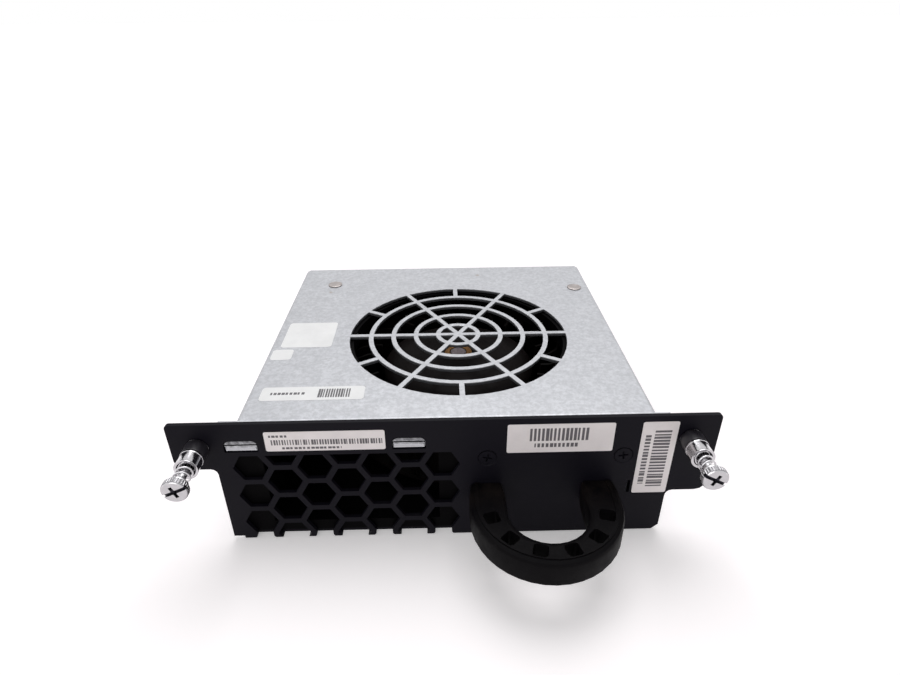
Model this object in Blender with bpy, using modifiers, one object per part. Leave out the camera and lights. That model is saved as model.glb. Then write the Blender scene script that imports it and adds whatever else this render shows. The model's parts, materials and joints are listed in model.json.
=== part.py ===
"""Switch fan tray: a sheet-metal tray with a centrifugal blower, a honeycomb front panel, a pull handle and two
sprung captive screws. Metres, +Z up, +Y towards the back. The origin is the centre of the footprint on the base
plane. Depths are measured back from the front face of the faceplate, so a depth below zero is in front of it."""

import math

import bmesh
import bpy
from mathutils import Matrix, Vector

# General
GAP = 0.0003
SHEET = 0.0010
CUT_MARGIN = 0.002
ARC_STEP = math.radians(15)

# Faceplate
PLATE_THICKNESS = 0.0012
PLATE_HEIGHT = 0.0410
PLATE_HALF_WIDTH = 0.0720
EAR_WIDTH = 0.0109
LEFT_EAR_HEIGHT = 0.0147
RIGHT_EAR_HEIGHT = 0.0256
EAR_TOP_RADIUS = 0.0010
EAR_CORNER_RADIUS = 0.0030
NOTCH_RADIUS = 0.0018
FOOT_CHAMFER = 0.0022
FOOT_BEND_RADIUS = 0.0007
LIP_DEPTH = 0.0110
FOOT_LEFT_INSET = 0.0030
FOOT_LEFT_RISE = 0.0013
SLIT_INSET = 0.0107
SLIT_DROP = 0.0217
SLIT_LENGTH = 0.0044
SLIT_WIDTH = 0.0008

# Honeycomb
HEX_PITCH = 0.00985
HEX_RIB = 0.0016
HEX_SIDE_MARGIN = 0.0035
HEX_TOP_MARGIN = 0.0002
HEX_LAST_COLUMN_X = -0.00095
HEX_FIRST_ROW_Z = 0.00675
HEX_MOUTH_DEPTH = 0.0024

# Locating tabs in their slots
TAB_WIDTH = 0.0088
TAB_HEIGHT = 0.0038
TAB_CORNER_RADIUS = 0.0016
TAB_DROP = 0.0053
TAB_LEFT_INSET = 0.0075
TAB_RIGHT_X = -0.00965
TAB_SINK = 0.0004

# Box
BOX_WIDTH = 0.1100
BOX_CENTRE_X = 0.00055
BOX_DEPTH = 0.1024
TOP_DROP = 0.0006
BEND_RADIUS = 0.0012
FLANGE_INSET = 0.0021
FLANGE_LEFT_HEIGHT = 0.0096
FLANGE_RIGHT_HEIGHT = 0.0179
FLANGE_STEP_X = 0.0050
REAR_CORNER_CHAMFER = 0.0015
PAN_FLANGE_HEIGHT = 0.0120
PAN_FLANGE_INSET = 0.0140
LAP_START = 0.0065
JOGGLE_START = 0.0113
JOGGLE_END = 0.0127

# Grille
GRILLE_X = 0.00487
GRILLE_DEPTH = 0.0469
GRILLE_RADIUS = 0.0350
RING_FIRST_RADIUS = 0.0065
RING_PITCH = 0.00723
RING_WIDTH = 0.0015
RING_COUNT = 4
SPOKE_WIDTH = 0.0015
GRILLE_SIDES = 60

# Rivets
TOP_RIVET_HEAD_RADIUS = 0.0026
RIVET_HEAD_HEIGHT = 0.0006
RIVET_RADIUS = 0.0013
TOP_RIVET_LEFT_INSET = 0.01355
TOP_RIVET_LEFT_SETBACK = 0.0150
TOP_RIVET_RIGHT_INSET = 0.00575
TOP_RIVET_RIGHT_SETBACK = 0.0210
SIDE_RIVET_Z = 0.0065
SIDE_RIVET_HEAD_RADIUS = 0.0017
SIDE_RIVET_RADIUS = 0.0010
SIDE_RIVET_FRONT_DEPTH = 0.0240
SIDE_RIVET_REAR_SETBACK = 0.0124
LAP_RIVET_DEPTH = 0.0088
LAP_RIVET_RADIUS = 0.0009
LAP_RIVET_HEAD_RADIUS = 0.0017
LAP_RIVET_SPACING = 0.0340
LAP_RIVET_COUNT = 3

# Panel screws and their nuts
PANEL_SCREW_LEFT_INSET = 0.0061
PANEL_SCREW_RIGHT_INSET = 0.0135
PANEL_SCREW_DROP = 0.0128
PANEL_SCREW_HEAD_RADIUS = 0.0024
PANEL_SCREW_RADIUS = 0.0012
PANEL_SCREW_LENGTH = 0.0042
PANEL_NUT_RADIUS = 0.0027
PANEL_NUT_HEIGHT = 0.0012

# Handle
HANDLE_X = 0.0262
HANDLE_OUTER_RADIUS = 0.0201
HANDLE_OUTER_CENTRE = 0.0081
HANDLE_SIDE_BAND = 0.0097
HANDLE_FRONT_BAND = 0.0070
HANDLE_DROP = 0.0292
HANDLE_HEIGHT = 0.0080
HANDLE_EDGE = 0.0012
HANDLE_LIP_WIDTH = 0.0010
HANDLE_LIP_SETBACK = 0.0002
HANDLE_LIP_HEIGHT = 0.0004
HANDLE_ROOT_LENGTH = 0.0038
HANDLE_ROOT_STEP = 0.0005
WINDOW_WIDTH = 0.0038
WINDOW_LENGTH = 0.0041
WINDOW_CORNER_RADIUS = 0.0008
WINDOW_COUNT = 6
WINDOW_INSET = 0.00475
WINDOW_SHIFT = 0.0010
WINDOW_FIRST_ANGLE = math.radians(15)
HANDLE_SCREW_RISE = 0.0044
HANDLE_SCREW_RADIUS = 0.0012
HANDLE_SCREW_HEAD_RADIUS = 0.0024
HANDLE_SCREW_HEAD_HEIGHT = 0.0014
HANDLE_SCREW_REACH = 0.0070

# Captive screws
CAPTIVE_INSET = 0.0072
CAPTIVE_DROP = 0.0074
FERRULE_RADIUS = 0.0033
FERRULE_FRONT = 0.0047
FERRULE_NECK_RADIUS = 0.0026
FERRULE_REAR = 0.0019
FERRULE_LIP = 0.0010
SLEEVE_RADIUS = 0.00275
SLEEVE_WALL = 0.00035
SLEEVE_FOOT_RADIUS = 0.00305
SLEEVE_FOOT_HEIGHT = 0.0004
SLEEVE_RIM_RADIUS = 0.00295
SLEEVE_RIM_HEIGHT = 0.0005
SLEEVE_FRONT = 0.0083
KNOB_RADIUS = 0.0032
KNOB_BACK = 0.0141
KNOB_THICKNESS = 0.0021
KNOB_EDGE = 0.0003
KNOB_SIDES = 36
SLOT_WIDTH = 0.0009
SLOT_DEPTH = 0.0009
CROSS_LENGTH = 0.0034
CROSS_DEPTH = 0.0012
LEFT_SLOT_ANGLE = math.radians(-24)
RIGHT_SLOT_ANGLE = math.radians(28)
SHANK_RADIUS = 0.0011
THREAD_RADIUS = 0.0015
THREAD_LENGTH = 0.0048
SPRING_RADIUS = 0.00195
SPRING_WIRE = 0.0005
SPRING_TURNS = 4
SCREW_WASHER_THICKNESS = 0.0005
SCREW_WASHER_RADIUS = 0.0026

# Blower housing
BLOWER_BASE = 0.0038
SCROLL_FLOOR = 0.0016
SCROLL_WALL = 0.0016
LID_THICKNESS = 0.0020
TONGUE_ANGLE = math.radians(-100)
SCROLL_END_ANGLE = math.radians(180)
TONGUE_GAP = 0.0025
SCROLL_GROWTH = 0.0145
MOUTH_DEPTH = 0.0034
FRAME_SIDE_MARGIN = 0.0005
FRAME_OVERLAP = 0.0010
FRAME_BOTTOM_GAP = 0.0006
INLET_INSET = 0.0032
INLET_LIP_HEIGHT = 0.0024
INLET_LIP_WIDTH = 0.0012
LUG_RADIUS = 0.0040
LUG_STEP = 0.0001
LID_SCREW_RADIUS = 0.0010
LID_SCREW_HEAD_RADIUS = 0.0019
LID_SCREW_HEAD_HEIGHT = 0.0008
LID_SCREW_LENGTH = 0.0080
LID_BOSS_RADIUS = 0.0030
LID_SCREW_ANGLES = (math.radians(-48), math.radians(62), math.radians(158))

# Impeller
IMPELLER_RADIUS = 0.0370
HUB_DROP = 0.0037
HUB_FLAT_INSET = 0.0091
HUB_RADIUS = 0.0246
HUB_CROWN = 0.0044
BACK_PLATE_RISE = 0.0044
BACK_PLATE_THICKNESS = 0.0012
BLADE_COUNT = 29
BLADE_HUB_GAP = 0.0026
BLADE_THICKNESS = 0.0009
SHROUD_GAP = 0.0016
BLADE_SWEEP = math.radians(13)
BLADE_STEPS = 3
SHROUD_WIDTH = 0.0015
SHROUD_HEIGHT = 0.0018
BLADE_SINK = 0.0005

# Motor
SHAFT_RADIUS = 0.0025
INSERT_RADIUS = 0.0045
INSERT_RISE = 0.0004
INSERT_DEPTH = 0.0072
HUB_WALL = 0.0020
YOKE_WALL = 0.0012
YOKE_DROP = 0.0052
YOKE_RISE = 0.0014
MAGNET_THICKNESS = 0.0015
MAGNET_TOP_GAP = 0.0018
AIR_GAP = 0.0006
STATOR_RISE = 0.0046
STATOR_TOP_GAP = 0.0020
COIL_OVERHANG = 0.0035
COIL_INNER_RADIUS = 0.0090
COIL_OUTER_RADIUS = 0.0160
BEARING_RADIUS = 0.0055
BEARING_HEIGHT = 0.0040
BEARING_RISE = 0.0026
BEARING_SETBACK = 0.0012
TUBE_WALL = 0.0012
TUBE_TOP_GAP = 0.0010
CLIP_RADIUS = 0.0042
CLIP_THICKNESS = 0.0006
CLIP_DROP = 0.0010
BOARD_RADIUS = 0.0180
BOARD_THICKNESS = 0.0016

# Connector and lead
CONNECTOR_X = 0.0360
CONNECTOR_Z = 0.0150
CONNECTOR_WIDTH = 0.0180
CONNECTOR_HEIGHT = 0.0090
CONNECTOR_STANDOUT = 0.0022
CONNECTOR_INNER_DEPTH = 0.0070
CONNECTOR_COLLAR = 0.0015
CONNECTOR_COLLAR_DEPTH = 0.0015
CONNECTOR_CAVITY = 0.0055
CONNECTOR_WALL = 0.0010
PIN_COUNT = 4
PIN_PITCH = 0.0040
PIN_SIZE = 0.0010
PIN_LENGTH = 0.0080
LEAD_RADIUS = 0.0013
LEAD_EXIT_ANGLE = math.radians(28)
LEAD_EXIT_REACH = 0.0040
LEAD_END_REACH = 0.0070

# Worked out: overall
HANDLE_REACH = HANDLE_OUTER_CENTRE + HANDLE_OUTER_RADIUS
TOTAL_DEPTH = HANDLE_REACH + BOX_DEPTH + CONNECTOR_STANDOUT
FRONT_Y = HANDLE_REACH - TOTAL_DEPTH / 2

# Worked out: box and its rivets
BOX_TOP = PLATE_HEIGHT - TOP_DROP
BOX_LEFT = BOX_CENTRE_X - BOX_WIDTH / 2
BOX_RIGHT = BOX_CENTRE_X + BOX_WIDTH / 2
REAR_INNER = BOX_DEPTH - GAP - SHEET
TOP_RIVET_LEFT_X = BOX_LEFT + TOP_RIVET_LEFT_INSET
TOP_RIVET_LEFT_DEPTH = BOX_DEPTH - TOP_RIVET_LEFT_SETBACK
TOP_RIVET_RIGHT_X = BOX_RIGHT - TOP_RIVET_RIGHT_INSET
TOP_RIVET_RIGHT_DEPTH = BOX_DEPTH - TOP_RIVET_RIGHT_SETBACK
SIDE_RIVET_REAR_DEPTH = BOX_DEPTH - SIDE_RIVET_REAR_SETBACK

# Worked out: faceplate, from its top edge and its ends
LOWER_HALF_WIDTH = PLATE_HALF_WIDTH - EAR_WIDTH
LEFT_EAR_BOTTOM = PLATE_HEIGHT - LEFT_EAR_HEIGHT
RIGHT_EAR_BOTTOM = PLATE_HEIGHT - RIGHT_EAR_HEIGHT
FOOT_LEFT = LOWER_HALF_WIDTH - FOOT_LEFT_INSET
SLIT_X = LOWER_HALF_WIDTH - SLIT_INSET
SLIT_TOP = PLATE_HEIGHT - SLIT_DROP
SLIT_BOTTOM = SLIT_TOP - SLIT_LENGTH
TAB_BOTTOM = PLATE_HEIGHT - TAB_DROP - TAB_HEIGHT
TAB_LEFT_X = TAB_LEFT_INSET - LOWER_HALF_WIDTH
FLANGE_FRONT = PLATE_THICKNESS + GAP
FLANGE_HALF_WIDTH = LOWER_HALF_WIDTH - FLANGE_INSET
FLANGE_LEFT_BOTTOM = BOX_TOP - FLANGE_LEFT_HEIGHT
FLANGE_RIGHT_BOTTOM = BOX_TOP - FLANGE_RIGHT_HEIGHT
PANEL_SCREW_LEFT_X = FLANGE_STEP_X + PANEL_SCREW_LEFT_INSET
PANEL_SCREW_RIGHT_X = LOWER_HALF_WIDTH - PANEL_SCREW_RIGHT_INSET
PANEL_SCREW_Z = PLATE_HEIGHT - PANEL_SCREW_DROP
CAPTIVE_X = PLATE_HALF_WIDTH - CAPTIVE_INSET
CAPTIVE_Z = PLATE_HEIGHT - CAPTIVE_DROP

# Worked out: honeycomb
HEX_ACROSS = (HEX_PITCH - HEX_RIB) / 2
HEX_POINT = HEX_ACROSS / math.cos(math.radians(30))
HEX_COLUMN_PITCH = HEX_PITCH * math.sqrt(3) / 2
HEX_ROOM = HEX_LAST_COLUMN_X - HEX_POINT + LOWER_HALF_WIDTH - HEX_SIDE_MARGIN
HEX_COLUMNS = 1 + math.floor(HEX_ROOM / HEX_COLUMN_PITCH)
HEX_FIRST_COLUMN_X = HEX_LAST_COLUMN_X - HEX_COLUMN_PITCH * (HEX_COLUMNS - 1)
HEX_TOP = FLANGE_LEFT_BOTTOM - HEX_TOP_MARGIN
HEX_ROWS = math.ceil(HEX_TOP / HEX_PITCH) + 1

# Worked out: handle
HANDLE_INNER_RADIUS = HANDLE_OUTER_RADIUS - HANDLE_SIDE_BAND
HANDLE_INNER_CENTRE = HANDLE_REACH - HANDLE_FRONT_BAND - HANDLE_INNER_RADIUS
HANDLE_BOTTOM = PLATE_HEIGHT - HANDLE_DROP
HANDLE_SCREW_Z = HANDLE_BOTTOM + HANDLE_SCREW_RISE
HANDLE_SCREW_SPREAD = HANDLE_OUTER_RADIUS + HANDLE_INNER_RADIUS
WINDOW_CIRCLE_RADIUS = HANDLE_OUTER_RADIUS - WINDOW_INSET
WINDOW_CIRCLE_CENTRE = HANDLE_OUTER_CENTRE + WINDOW_SHIFT

# Worked out: blower, from the floor up and from the cover down
LID_TOP = BOX_TOP - SHEET - GAP
LID_BOTTOM = LID_TOP - LID_THICKNESS
SCROLL_TOP = LID_BOTTOM - GAP
FLOOR_TOP = BLOWER_BASE + SCROLL_FLOOR
TONGUE_RADIUS = IMPELLER_RADIUS + TONGUE_GAP
SCROLL_END_RADIUS = TONGUE_RADIUS + SCROLL_GROWTH
INLET_RADIUS = IMPELLER_RADIUS - INLET_INSET
FRAME_LEFT = HEX_FIRST_COLUMN_X - HEX_POINT - FRAME_SIDE_MARGIN
FRAME_RIGHT = FLANGE_STEP_X - 2 * GAP
FRAME_BOTTOM = PLATE_THICKNESS + FRAME_BOTTOM_GAP
FRAME_TOP = FLANGE_LEFT_BOTTOM - 2 * GAP
FRAME_BACK = MOUTH_DEPTH + FRAME_OVERLAP
BACK_PLATE_Z = FLOOR_TOP + BACK_PLATE_RISE
HUB_TOP = LID_BOTTOM - HUB_DROP
HUB_SHOULDER = HUB_TOP - HUB_CROWN
HUB_FLAT_RADIUS = HUB_RADIUS - HUB_FLAT_INSET
BLADE_INNER_RADIUS = HUB_RADIUS + BLADE_HUB_GAP
BLADE_TOP = LID_BOTTOM - INLET_LIP_HEIGHT - SHROUD_GAP - SHROUD_HEIGHT + BLADE_SINK

# Worked out: motor
YOKE_RADIUS = HUB_RADIUS - HUB_WALL
YOKE_TOP = HUB_TOP - YOKE_DROP
YOKE_BOTTOM = BACK_PLATE_Z + YOKE_RISE
MAGNET_TOP = YOKE_TOP - YOKE_WALL - MAGNET_TOP_GAP
STATOR_RADIUS = YOKE_RADIUS - YOKE_WALL - GAP - MAGNET_THICKNESS - AIR_GAP
STATOR_BOTTOM = FLOOR_TOP + STATOR_RISE
STATOR_TOP = YOKE_TOP - YOKE_WALL - STATOR_TOP_GAP
INSERT_BOTTOM = HUB_TOP - INSERT_DEPTH
TUBE_INNER = BEARING_RADIUS + GAP
TUBE_OUTER = TUBE_INNER + TUBE_WALL
TUBE_TOP = INSERT_BOTTOM - TUBE_TOP_GAP
BEARING_LOWER_Z = FLOOR_TOP + BEARING_RISE
BEARING_UPPER_Z = TUBE_TOP - BEARING_SETBACK - BEARING_HEIGHT

COLOURS = {
    "black_steel": ((0.016, 0.016, 0.019), 0.55, 0.3),
    "galvanised": ((0.62, 0.64, 0.66), 0.42, 0.85),
    "black_plastic": ((0.010, 0.010, 0.012), 0.5, 0.0),
    "handle_plastic": ((0.012, 0.011, 0.012), 0.45, 0.0),
    "bright_steel": ((0.70, 0.70, 0.71), 0.22, 1.0),
    "rivet_steel": ((0.52, 0.43, 0.36), 0.4, 0.8),
    "brass": ((0.55, 0.30, 0.14), 0.35, 0.9),
    "magnet": ((0.05, 0.05, 0.05), 0.7, 0.2),
    "copper": ((0.60, 0.25, 0.10), 0.4, 0.8),
    "board": ((0.02, 0.12, 0.06), 0.5, 0.0),
    "lead": ((0.02, 0.02, 0.02), 0.6, 0.0),
}


def clear_scene():
    for obj in list(bpy.data.objects):
        bpy.data.objects.remove(obj, do_unlink=True)


def make_collection(name):
    collection = bpy.data.collections.new(name)
    bpy.context.scene.collection.children.link(collection)
    return collection


clear_scene()
PARTS = make_collection("switch_fan_tray")
CUTTERS = make_collection("cutters")


def material(slot, node):
    colour, roughness, metallic = COLOURS[slot]
    finish = bpy.data.materials.new(f"{node}_{slot}")
    finish.use_nodes = True
    shader = finish.node_tree.nodes["Principled BSDF"]
    shader.inputs["Base Color"].default_value = (*colour, 1.0)
    shader.inputs["Roughness"].default_value = roughness
    shader.inputs["Metallic"].default_value = metallic
    return finish


def place(name, data, slot, location=(0, 0, 0), rotation=(0, 0, 0)):
    """Puts a mesh or curve in the parts collection with its own material."""
    obj = bpy.data.objects.new(name, data)
    obj.location = location
    obj.rotation_euler = rotation
    PARTS.objects.link(obj)
    data.materials.append(material(slot, name))
    return obj


def as_cutter(obj):
    for collection in list(obj.users_collection):
        collection.objects.unlink(obj)
    CUTTERS.objects.link(obj)
    obj.hide_render = True
    obj.display_type = "WIRE"
    return obj


def combine(obj, other, operation):
    modifier = obj.modifiers.new(operation.lower(), "BOOLEAN")
    modifier.operation = operation
    modifier.solver = "EXACT"
    modifier.object = other
    return obj


def cut(obj, *cutters):
    for cutter in cutters:
        combine(obj, as_cutter(cutter), "DIFFERENCE")
    return obj


def join(obj, *others):
    for other in others:
        combine(obj, as_cutter(other), "UNION")
    return obj


def smooth(obj, angle=math.radians(35)):
    obj.data.shade_smooth()
    obj.data.set_sharp_from_angle(angle=angle)
    return obj


def block(name, low, high, slot="galvanised"):
    """A box between two corners, given as x, depth, z."""
    mesh = bpy.data.meshes.new(name)
    shape = bmesh.new()
    bmesh.ops.create_cube(shape, size=1.0)
    size = Vector(high) - Vector(low)
    shape.transform(Matrix.Diagonal((*size, 1.0)))
    shape.to_mesh(mesh)
    shape.free()
    centre = (Vector(low) + Vector(high)) / 2
    return place(name, mesh, slot, (centre.x, FRONT_Y + centre.y, centre.z))


def turned(name, profile, slot, location=(0, 0, 0), axis="Z", sides=32, closed=False):
    """Turns a profile of (radius, height) points about the axis. It runs down the outer side, top to bottom."""
    mesh = bpy.data.meshes.new(name)
    shape = bmesh.new()
    corners = [shape.verts.new((radius, 0, height)) for radius, height in profile]
    for first, second in zip(corners, corners[1:]):
        shape.edges.new((first, second))
    if closed:
        shape.edges.new((corners[-1], corners[0]))
    shape.to_mesh(mesh)
    shape.free()
    x, depth, z = location
    turn = {"Z": (0, 0, 0), "Y": (math.pi / 2, 0, 0), "X": (0, math.pi / 2, 0)}[axis]
    obj = place(name, mesh, slot, (x, FRONT_Y + depth, z), turn)
    screw = obj.modifiers.new("turn", "SCREW")
    screw.steps = sides
    screw.render_steps = sides
    screw.use_merge_vertices = True
    screw.merge_threshold = 0.00001
    screw.use_normal_calculate = False
    return smooth(obj)


def ring_profile(inner, outer, bottom, top):
    return [(outer, top), (outer, bottom), (inner, bottom), (inner, top)]


def disc_profile(radius, bottom, top):
    return [(0, top), (radius, top), (radius, bottom), (0, bottom)]


def outline_solid(name, outlines, thickness, slot, plane="XY", offset=0.0):
    """A flat outline, with holes where one outline lies in another, as a plate. In plane XY the points are x,
    depth and offset is its lowest z; in XZ they are x, z and offset its front depth; in YZ they are depth, z and
    offset its lowest x."""
    curve = bpy.data.curves.new(name, "CURVE")
    curve.dimensions = "2D"
    curve.fill_mode = "BOTH"
    curve.extrude = thickness / 2
    for outline in outlines:
        spline = curve.splines.new("POLY")
        spline.points.add(len(outline) - 1)
        for point, (u, v) in zip(spline.points, outline):
            point.co = (u, v, 0, 1)
        spline.use_cyclic_u = True
    middle = offset + thickness / 2
    flat = bpy.data.objects.new(name + "_outline", curve)
    flat.matrix_world = {
        "XY": Matrix.Translation((0, FRONT_Y, middle)),
        "XZ": Matrix.Translation((0, FRONT_Y + middle, 0)) @ Matrix.Rotation(math.pi / 2, 4, "X"),
        "YZ": Matrix.Translation((middle, FRONT_Y, 0))
        @ Matrix.Rotation(math.pi / 2, 4, "Z")
        @ Matrix.Rotation(math.pi / 2, 4, "X"),
    }[plane]
    PARTS.objects.link(flat)
    return as_mesh(name, flat, slot)


def as_mesh(name, curve_object, slot):
    """Turns a curve object into a welded mesh object at the same place, and removes the curve."""
    bpy.context.view_layer.update()
    evaluated = curve_object.evaluated_get(bpy.context.evaluated_depsgraph_get())
    mesh = bpy.data.meshes.new_from_object(evaluated)
    mesh.name = name
    mesh.materials.clear()
    shape = bmesh.new()
    shape.from_mesh(mesh)
    bmesh.ops.remove_doubles(shape, verts=shape.verts, dist=0.000001)
    bmesh.ops.recalc_face_normals(shape, faces=shape.faces)
    shape.to_mesh(mesh)
    shape.free()
    obj = place(name, mesh, slot)
    obj.matrix_world = curve_object.matrix_world
    bpy.data.objects.remove(curve_object)
    return obj


def arc(centre, radius, start, end, step=ARC_STEP):
    count = max(2, math.ceil(abs(end - start) / step - 0.001))
    angles = [start + (end - start) * index / count for index in range(count + 1)]
    return [(centre[0] + radius * math.cos(a), centre[1] + radius * math.sin(a)) for a in angles]


def whole_faces(obj):
    """Joins the triangles of each flat face into one face, so that a bevel runs evenly round it."""
    shape = bmesh.new()
    shape.from_mesh(obj.data)
    bmesh.ops.dissolve_limit(shape, angle_limit=math.radians(1), verts=shape.verts, edges=shape.edges)
    shape.to_mesh(obj.data)
    shape.free()


def edge_cutter(name, depth, z, inward, radius, low, high):
    """Takes what lies outside a rounded edge along X. Inward is the (depth, z) direction from the edge into the
    metal."""
    d, u = inward
    points = [(depth - d * CUT_MARGIN, z - u * CUT_MARGIN), (depth + d * radius, z - u * CUT_MARGIN)]
    steps = 4
    for index in range(steps + 1):
        angle = math.pi / 2 * index / steps
        points.append(
            (depth + d * radius * (1 - math.sin(angle)), z + u * radius * (1 - math.cos(angle)))
        )
    points.append((depth - d * CUT_MARGIN, z + u * radius))
    return outline_solid(name, [points], high - low, "galvanised", "YZ", low)


def circle(centre, radius, sides=24):
    angles = [2 * math.pi * index / sides for index in range(sides)]
    return [(centre[0] + radius * math.cos(a), centre[1] + radius * math.sin(a)) for a in angles]


def rounded(corners):
    """An outline of (u, v, radius) corners, with each corner of some radius turned into an arc."""
    points = []
    for index, (u, v, radius) in enumerate(corners):
        here = Vector((u, v))
        before = Vector(corners[index - 1][:2]) - here
        after = Vector(corners[(index + 1) % len(corners)][:2]) - here
        if radius <= 0:
            points.append((u, v))
            continue
        before.normalize()
        after.normalize()
        half = before.angle(after) / 2
        setback = radius / math.tan(half)
        centre = here + (before + after).normalized() * (radius / math.sin(half))
        first = here + before * setback - centre
        last = here + after * setback - centre
        start = math.atan2(first.y, first.x)
        sweep = (math.atan2(last.y, last.x) - start + math.pi) % (2 * math.pi) - math.pi
        points += arc(centre, radius, start, start + sweep, math.radians(30))
    return points


def rectangle(u_low, v_low, u_high, v_high, radius=0.0):
    corners = [(u_low, v_low), (u_high, v_low), (u_high, v_high), (u_low, v_high)]
    return rounded([(*corner, radius) for corner in corners])


def band(path, thickness):
    """The outline of a bent sheet: the path of its middle, widened by half the thickness on each side."""
    left = []
    right = []
    for index, point in enumerate(path):
        here = Vector(point)
        back = (here - Vector(path[max(index - 1, 0)])).normalized()
        ahead = (Vector(path[min(index + 1, len(path) - 1)]) - here).normalized()
        if index == 0:
            back = ahead
        if index == len(path) - 1:
            ahead = back
        along = (back + ahead).normalized()
        across = Vector((-along.y, along.x)) * (thickness / 2 / along.dot(ahead))
        left.append(tuple(here + across))
        right.append(tuple(here - across))
    return left + right[::-1]


def tab_outline(centre_x, allowance=0.0):
    half = TAB_WIDTH / 2 - allowance
    low = TAB_BOTTOM + allowance
    high = TAB_BOTTOM + TAB_HEIGHT - allowance
    radius = TAB_CORNER_RADIUS
    return rounded(
        [
            (centre_x - half, low, 0),
            (centre_x + half, low, 0),
            (centre_x + half, high, radius),
            (centre_x - half, high, radius),
        ]
    )


def hexagon_columns():
    """The column centres of the honeycomb from left to right, with whether each column is a raised one."""
    for column in range(HEX_COLUMNS):
        yield HEX_FIRST_COLUMN_X + HEX_COLUMN_PITCH * column, (HEX_COLUMNS - 1 - column) % 2 == 0


def clipped_hexagon(x, z, low, high):
    """A hexagon with flat top and bottom, cut off below low and above high."""

    def half_width(level):
        return HEX_POINT - abs(level - z) * math.tan(math.radians(30))

    levels = sorted({max(low, z - HEX_ACROSS), min(high, z + HEX_ACROSS), min(max(z, low), high)})
    right = [(x + half_width(level), level) for level in levels]
    left = [(x - half_width(level), level) for level in reversed(levels)]
    return right + left


def faceplate():
    """The black front: a plate with two ears and a lip bent back along its foot. Its outline as seen from the
    front, with the holes, is cut from the bent sheet."""
    outline = rounded(
        [
            (-FOOT_LEFT, -CUT_MARGIN, 0),
            (LOWER_HALF_WIDTH - FOOT_CHAMFER - CUT_MARGIN, -CUT_MARGIN, 0),
            (LOWER_HALF_WIDTH, FOOT_CHAMFER, 0),
            (LOWER_HALF_WIDTH, RIGHT_EAR_BOTTOM, NOTCH_RADIUS),
            (PLATE_HALF_WIDTH, RIGHT_EAR_BOTTOM, EAR_CORNER_RADIUS),
            (PLATE_HALF_WIDTH, PLATE_HEIGHT, EAR_TOP_RADIUS),
            (-PLATE_HALF_WIDTH, PLATE_HEIGHT, EAR_TOP_RADIUS),
            (-PLATE_HALF_WIDTH, LEFT_EAR_BOTTOM, EAR_CORNER_RADIUS),
            (-LOWER_HALF_WIDTH, LEFT_EAR_BOTTOM, NOTCH_RADIUS),
            (-LOWER_HALF_WIDTH, FOOT_LEFT_RISE, 0),
            (-FOOT_LEFT, FOOT_LEFT_RISE, 0),
        ]
    )
    half_spread = HANDLE_SCREW_SPREAD / 2
    holes = [
        tab_outline(TAB_LEFT_X),
        tab_outline(TAB_RIGHT_X),
        rectangle(SLIT_X - SLIT_WIDTH / 2, SLIT_BOTTOM, SLIT_X + SLIT_WIDTH / 2, SLIT_TOP),
        circle((-CAPTIVE_X, CAPTIVE_Z), FERRULE_NECK_RADIUS + GAP),
        circle((CAPTIVE_X, CAPTIVE_Z), FERRULE_NECK_RADIUS + GAP),
        circle((HANDLE_X - half_spread, HANDLE_SCREW_Z), HANDLE_SCREW_RADIUS + GAP),
        circle((HANDLE_X + half_spread, HANDLE_SCREW_Z), HANDLE_SCREW_RADIUS + GAP),
    ]
    plate = outline_solid(
        "faceplate", [outline, *holes], LIP_DEPTH + 2 * CUT_MARGIN, "black_steel", "XZ", -CUT_MARGIN
    )
    bend = FOOT_BEND_RADIUS
    bent_sheet = [
        (0, PLATE_HEIGHT + CUT_MARGIN),
        *arc((bend, bend), bend, math.pi, 1.5 * math.pi, math.radians(22.5)),
        (LIP_DEPTH, 0),
        (LIP_DEPTH, PLATE_THICKNESS),
        (PLATE_THICKNESS, PLATE_THICKNESS),
        (PLATE_THICKNESS, PLATE_HEIGHT + CUT_MARGIN),
    ]
    width = PLATE_HALF_WIDTH + CUT_MARGIN
    sheet = outline_solid("bent_sheet", [bent_sheet], 2 * width, "black_steel", "YZ", -width)
    combine(plate, as_cutter(sheet), "INTERSECT")
    cells = []
    for x, raised in hexagon_columns():
        shift = 0.0 if raised else -HEX_PITCH / 2
        for row in range(-1, HEX_ROWS):
            z = HEX_FIRST_ROW_Z + shift + row * HEX_PITCH
            if z - HEX_PITCH / 2 > HEX_TOP - HEX_RIB or z + HEX_ACROSS < HEX_RIB * 2:
                continue
            cells.append(mouth_cell(x, z) if z < HEX_PITCH else clipped_hexagon(x, z, 0, HEX_TOP))
    comb = outline_solid(
        "honeycomb_cut", cells, HEX_MOUTH_DEPTH + CUT_MARGIN, "black_steel", "XZ", -CUT_MARGIN
    )
    cut(plate, comb)
    for name, x in (("left", PANEL_SCREW_LEFT_X), ("right", PANEL_SCREW_RIGHT_X)):
        cut(plate, countersink(f"panel_countersink_{name}", x))
    for index, x in enumerate(lap_rivet_places()):
        profile = flat_head_profile(LAP_RIVET_HEAD_RADIUS + GAP, LAP_RIVET_RADIUS + GAP, LIP_DEPTH, CUT_MARGIN)
        hole = turned(f"lap_countersink_{index + 1}", profile, "black_steel", (x, LAP_RIVET_DEPTH, 0), sides=16)
        hole.rotation_euler = (math.pi, 0, 0)
        cut(plate, hole)
    return plate


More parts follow.
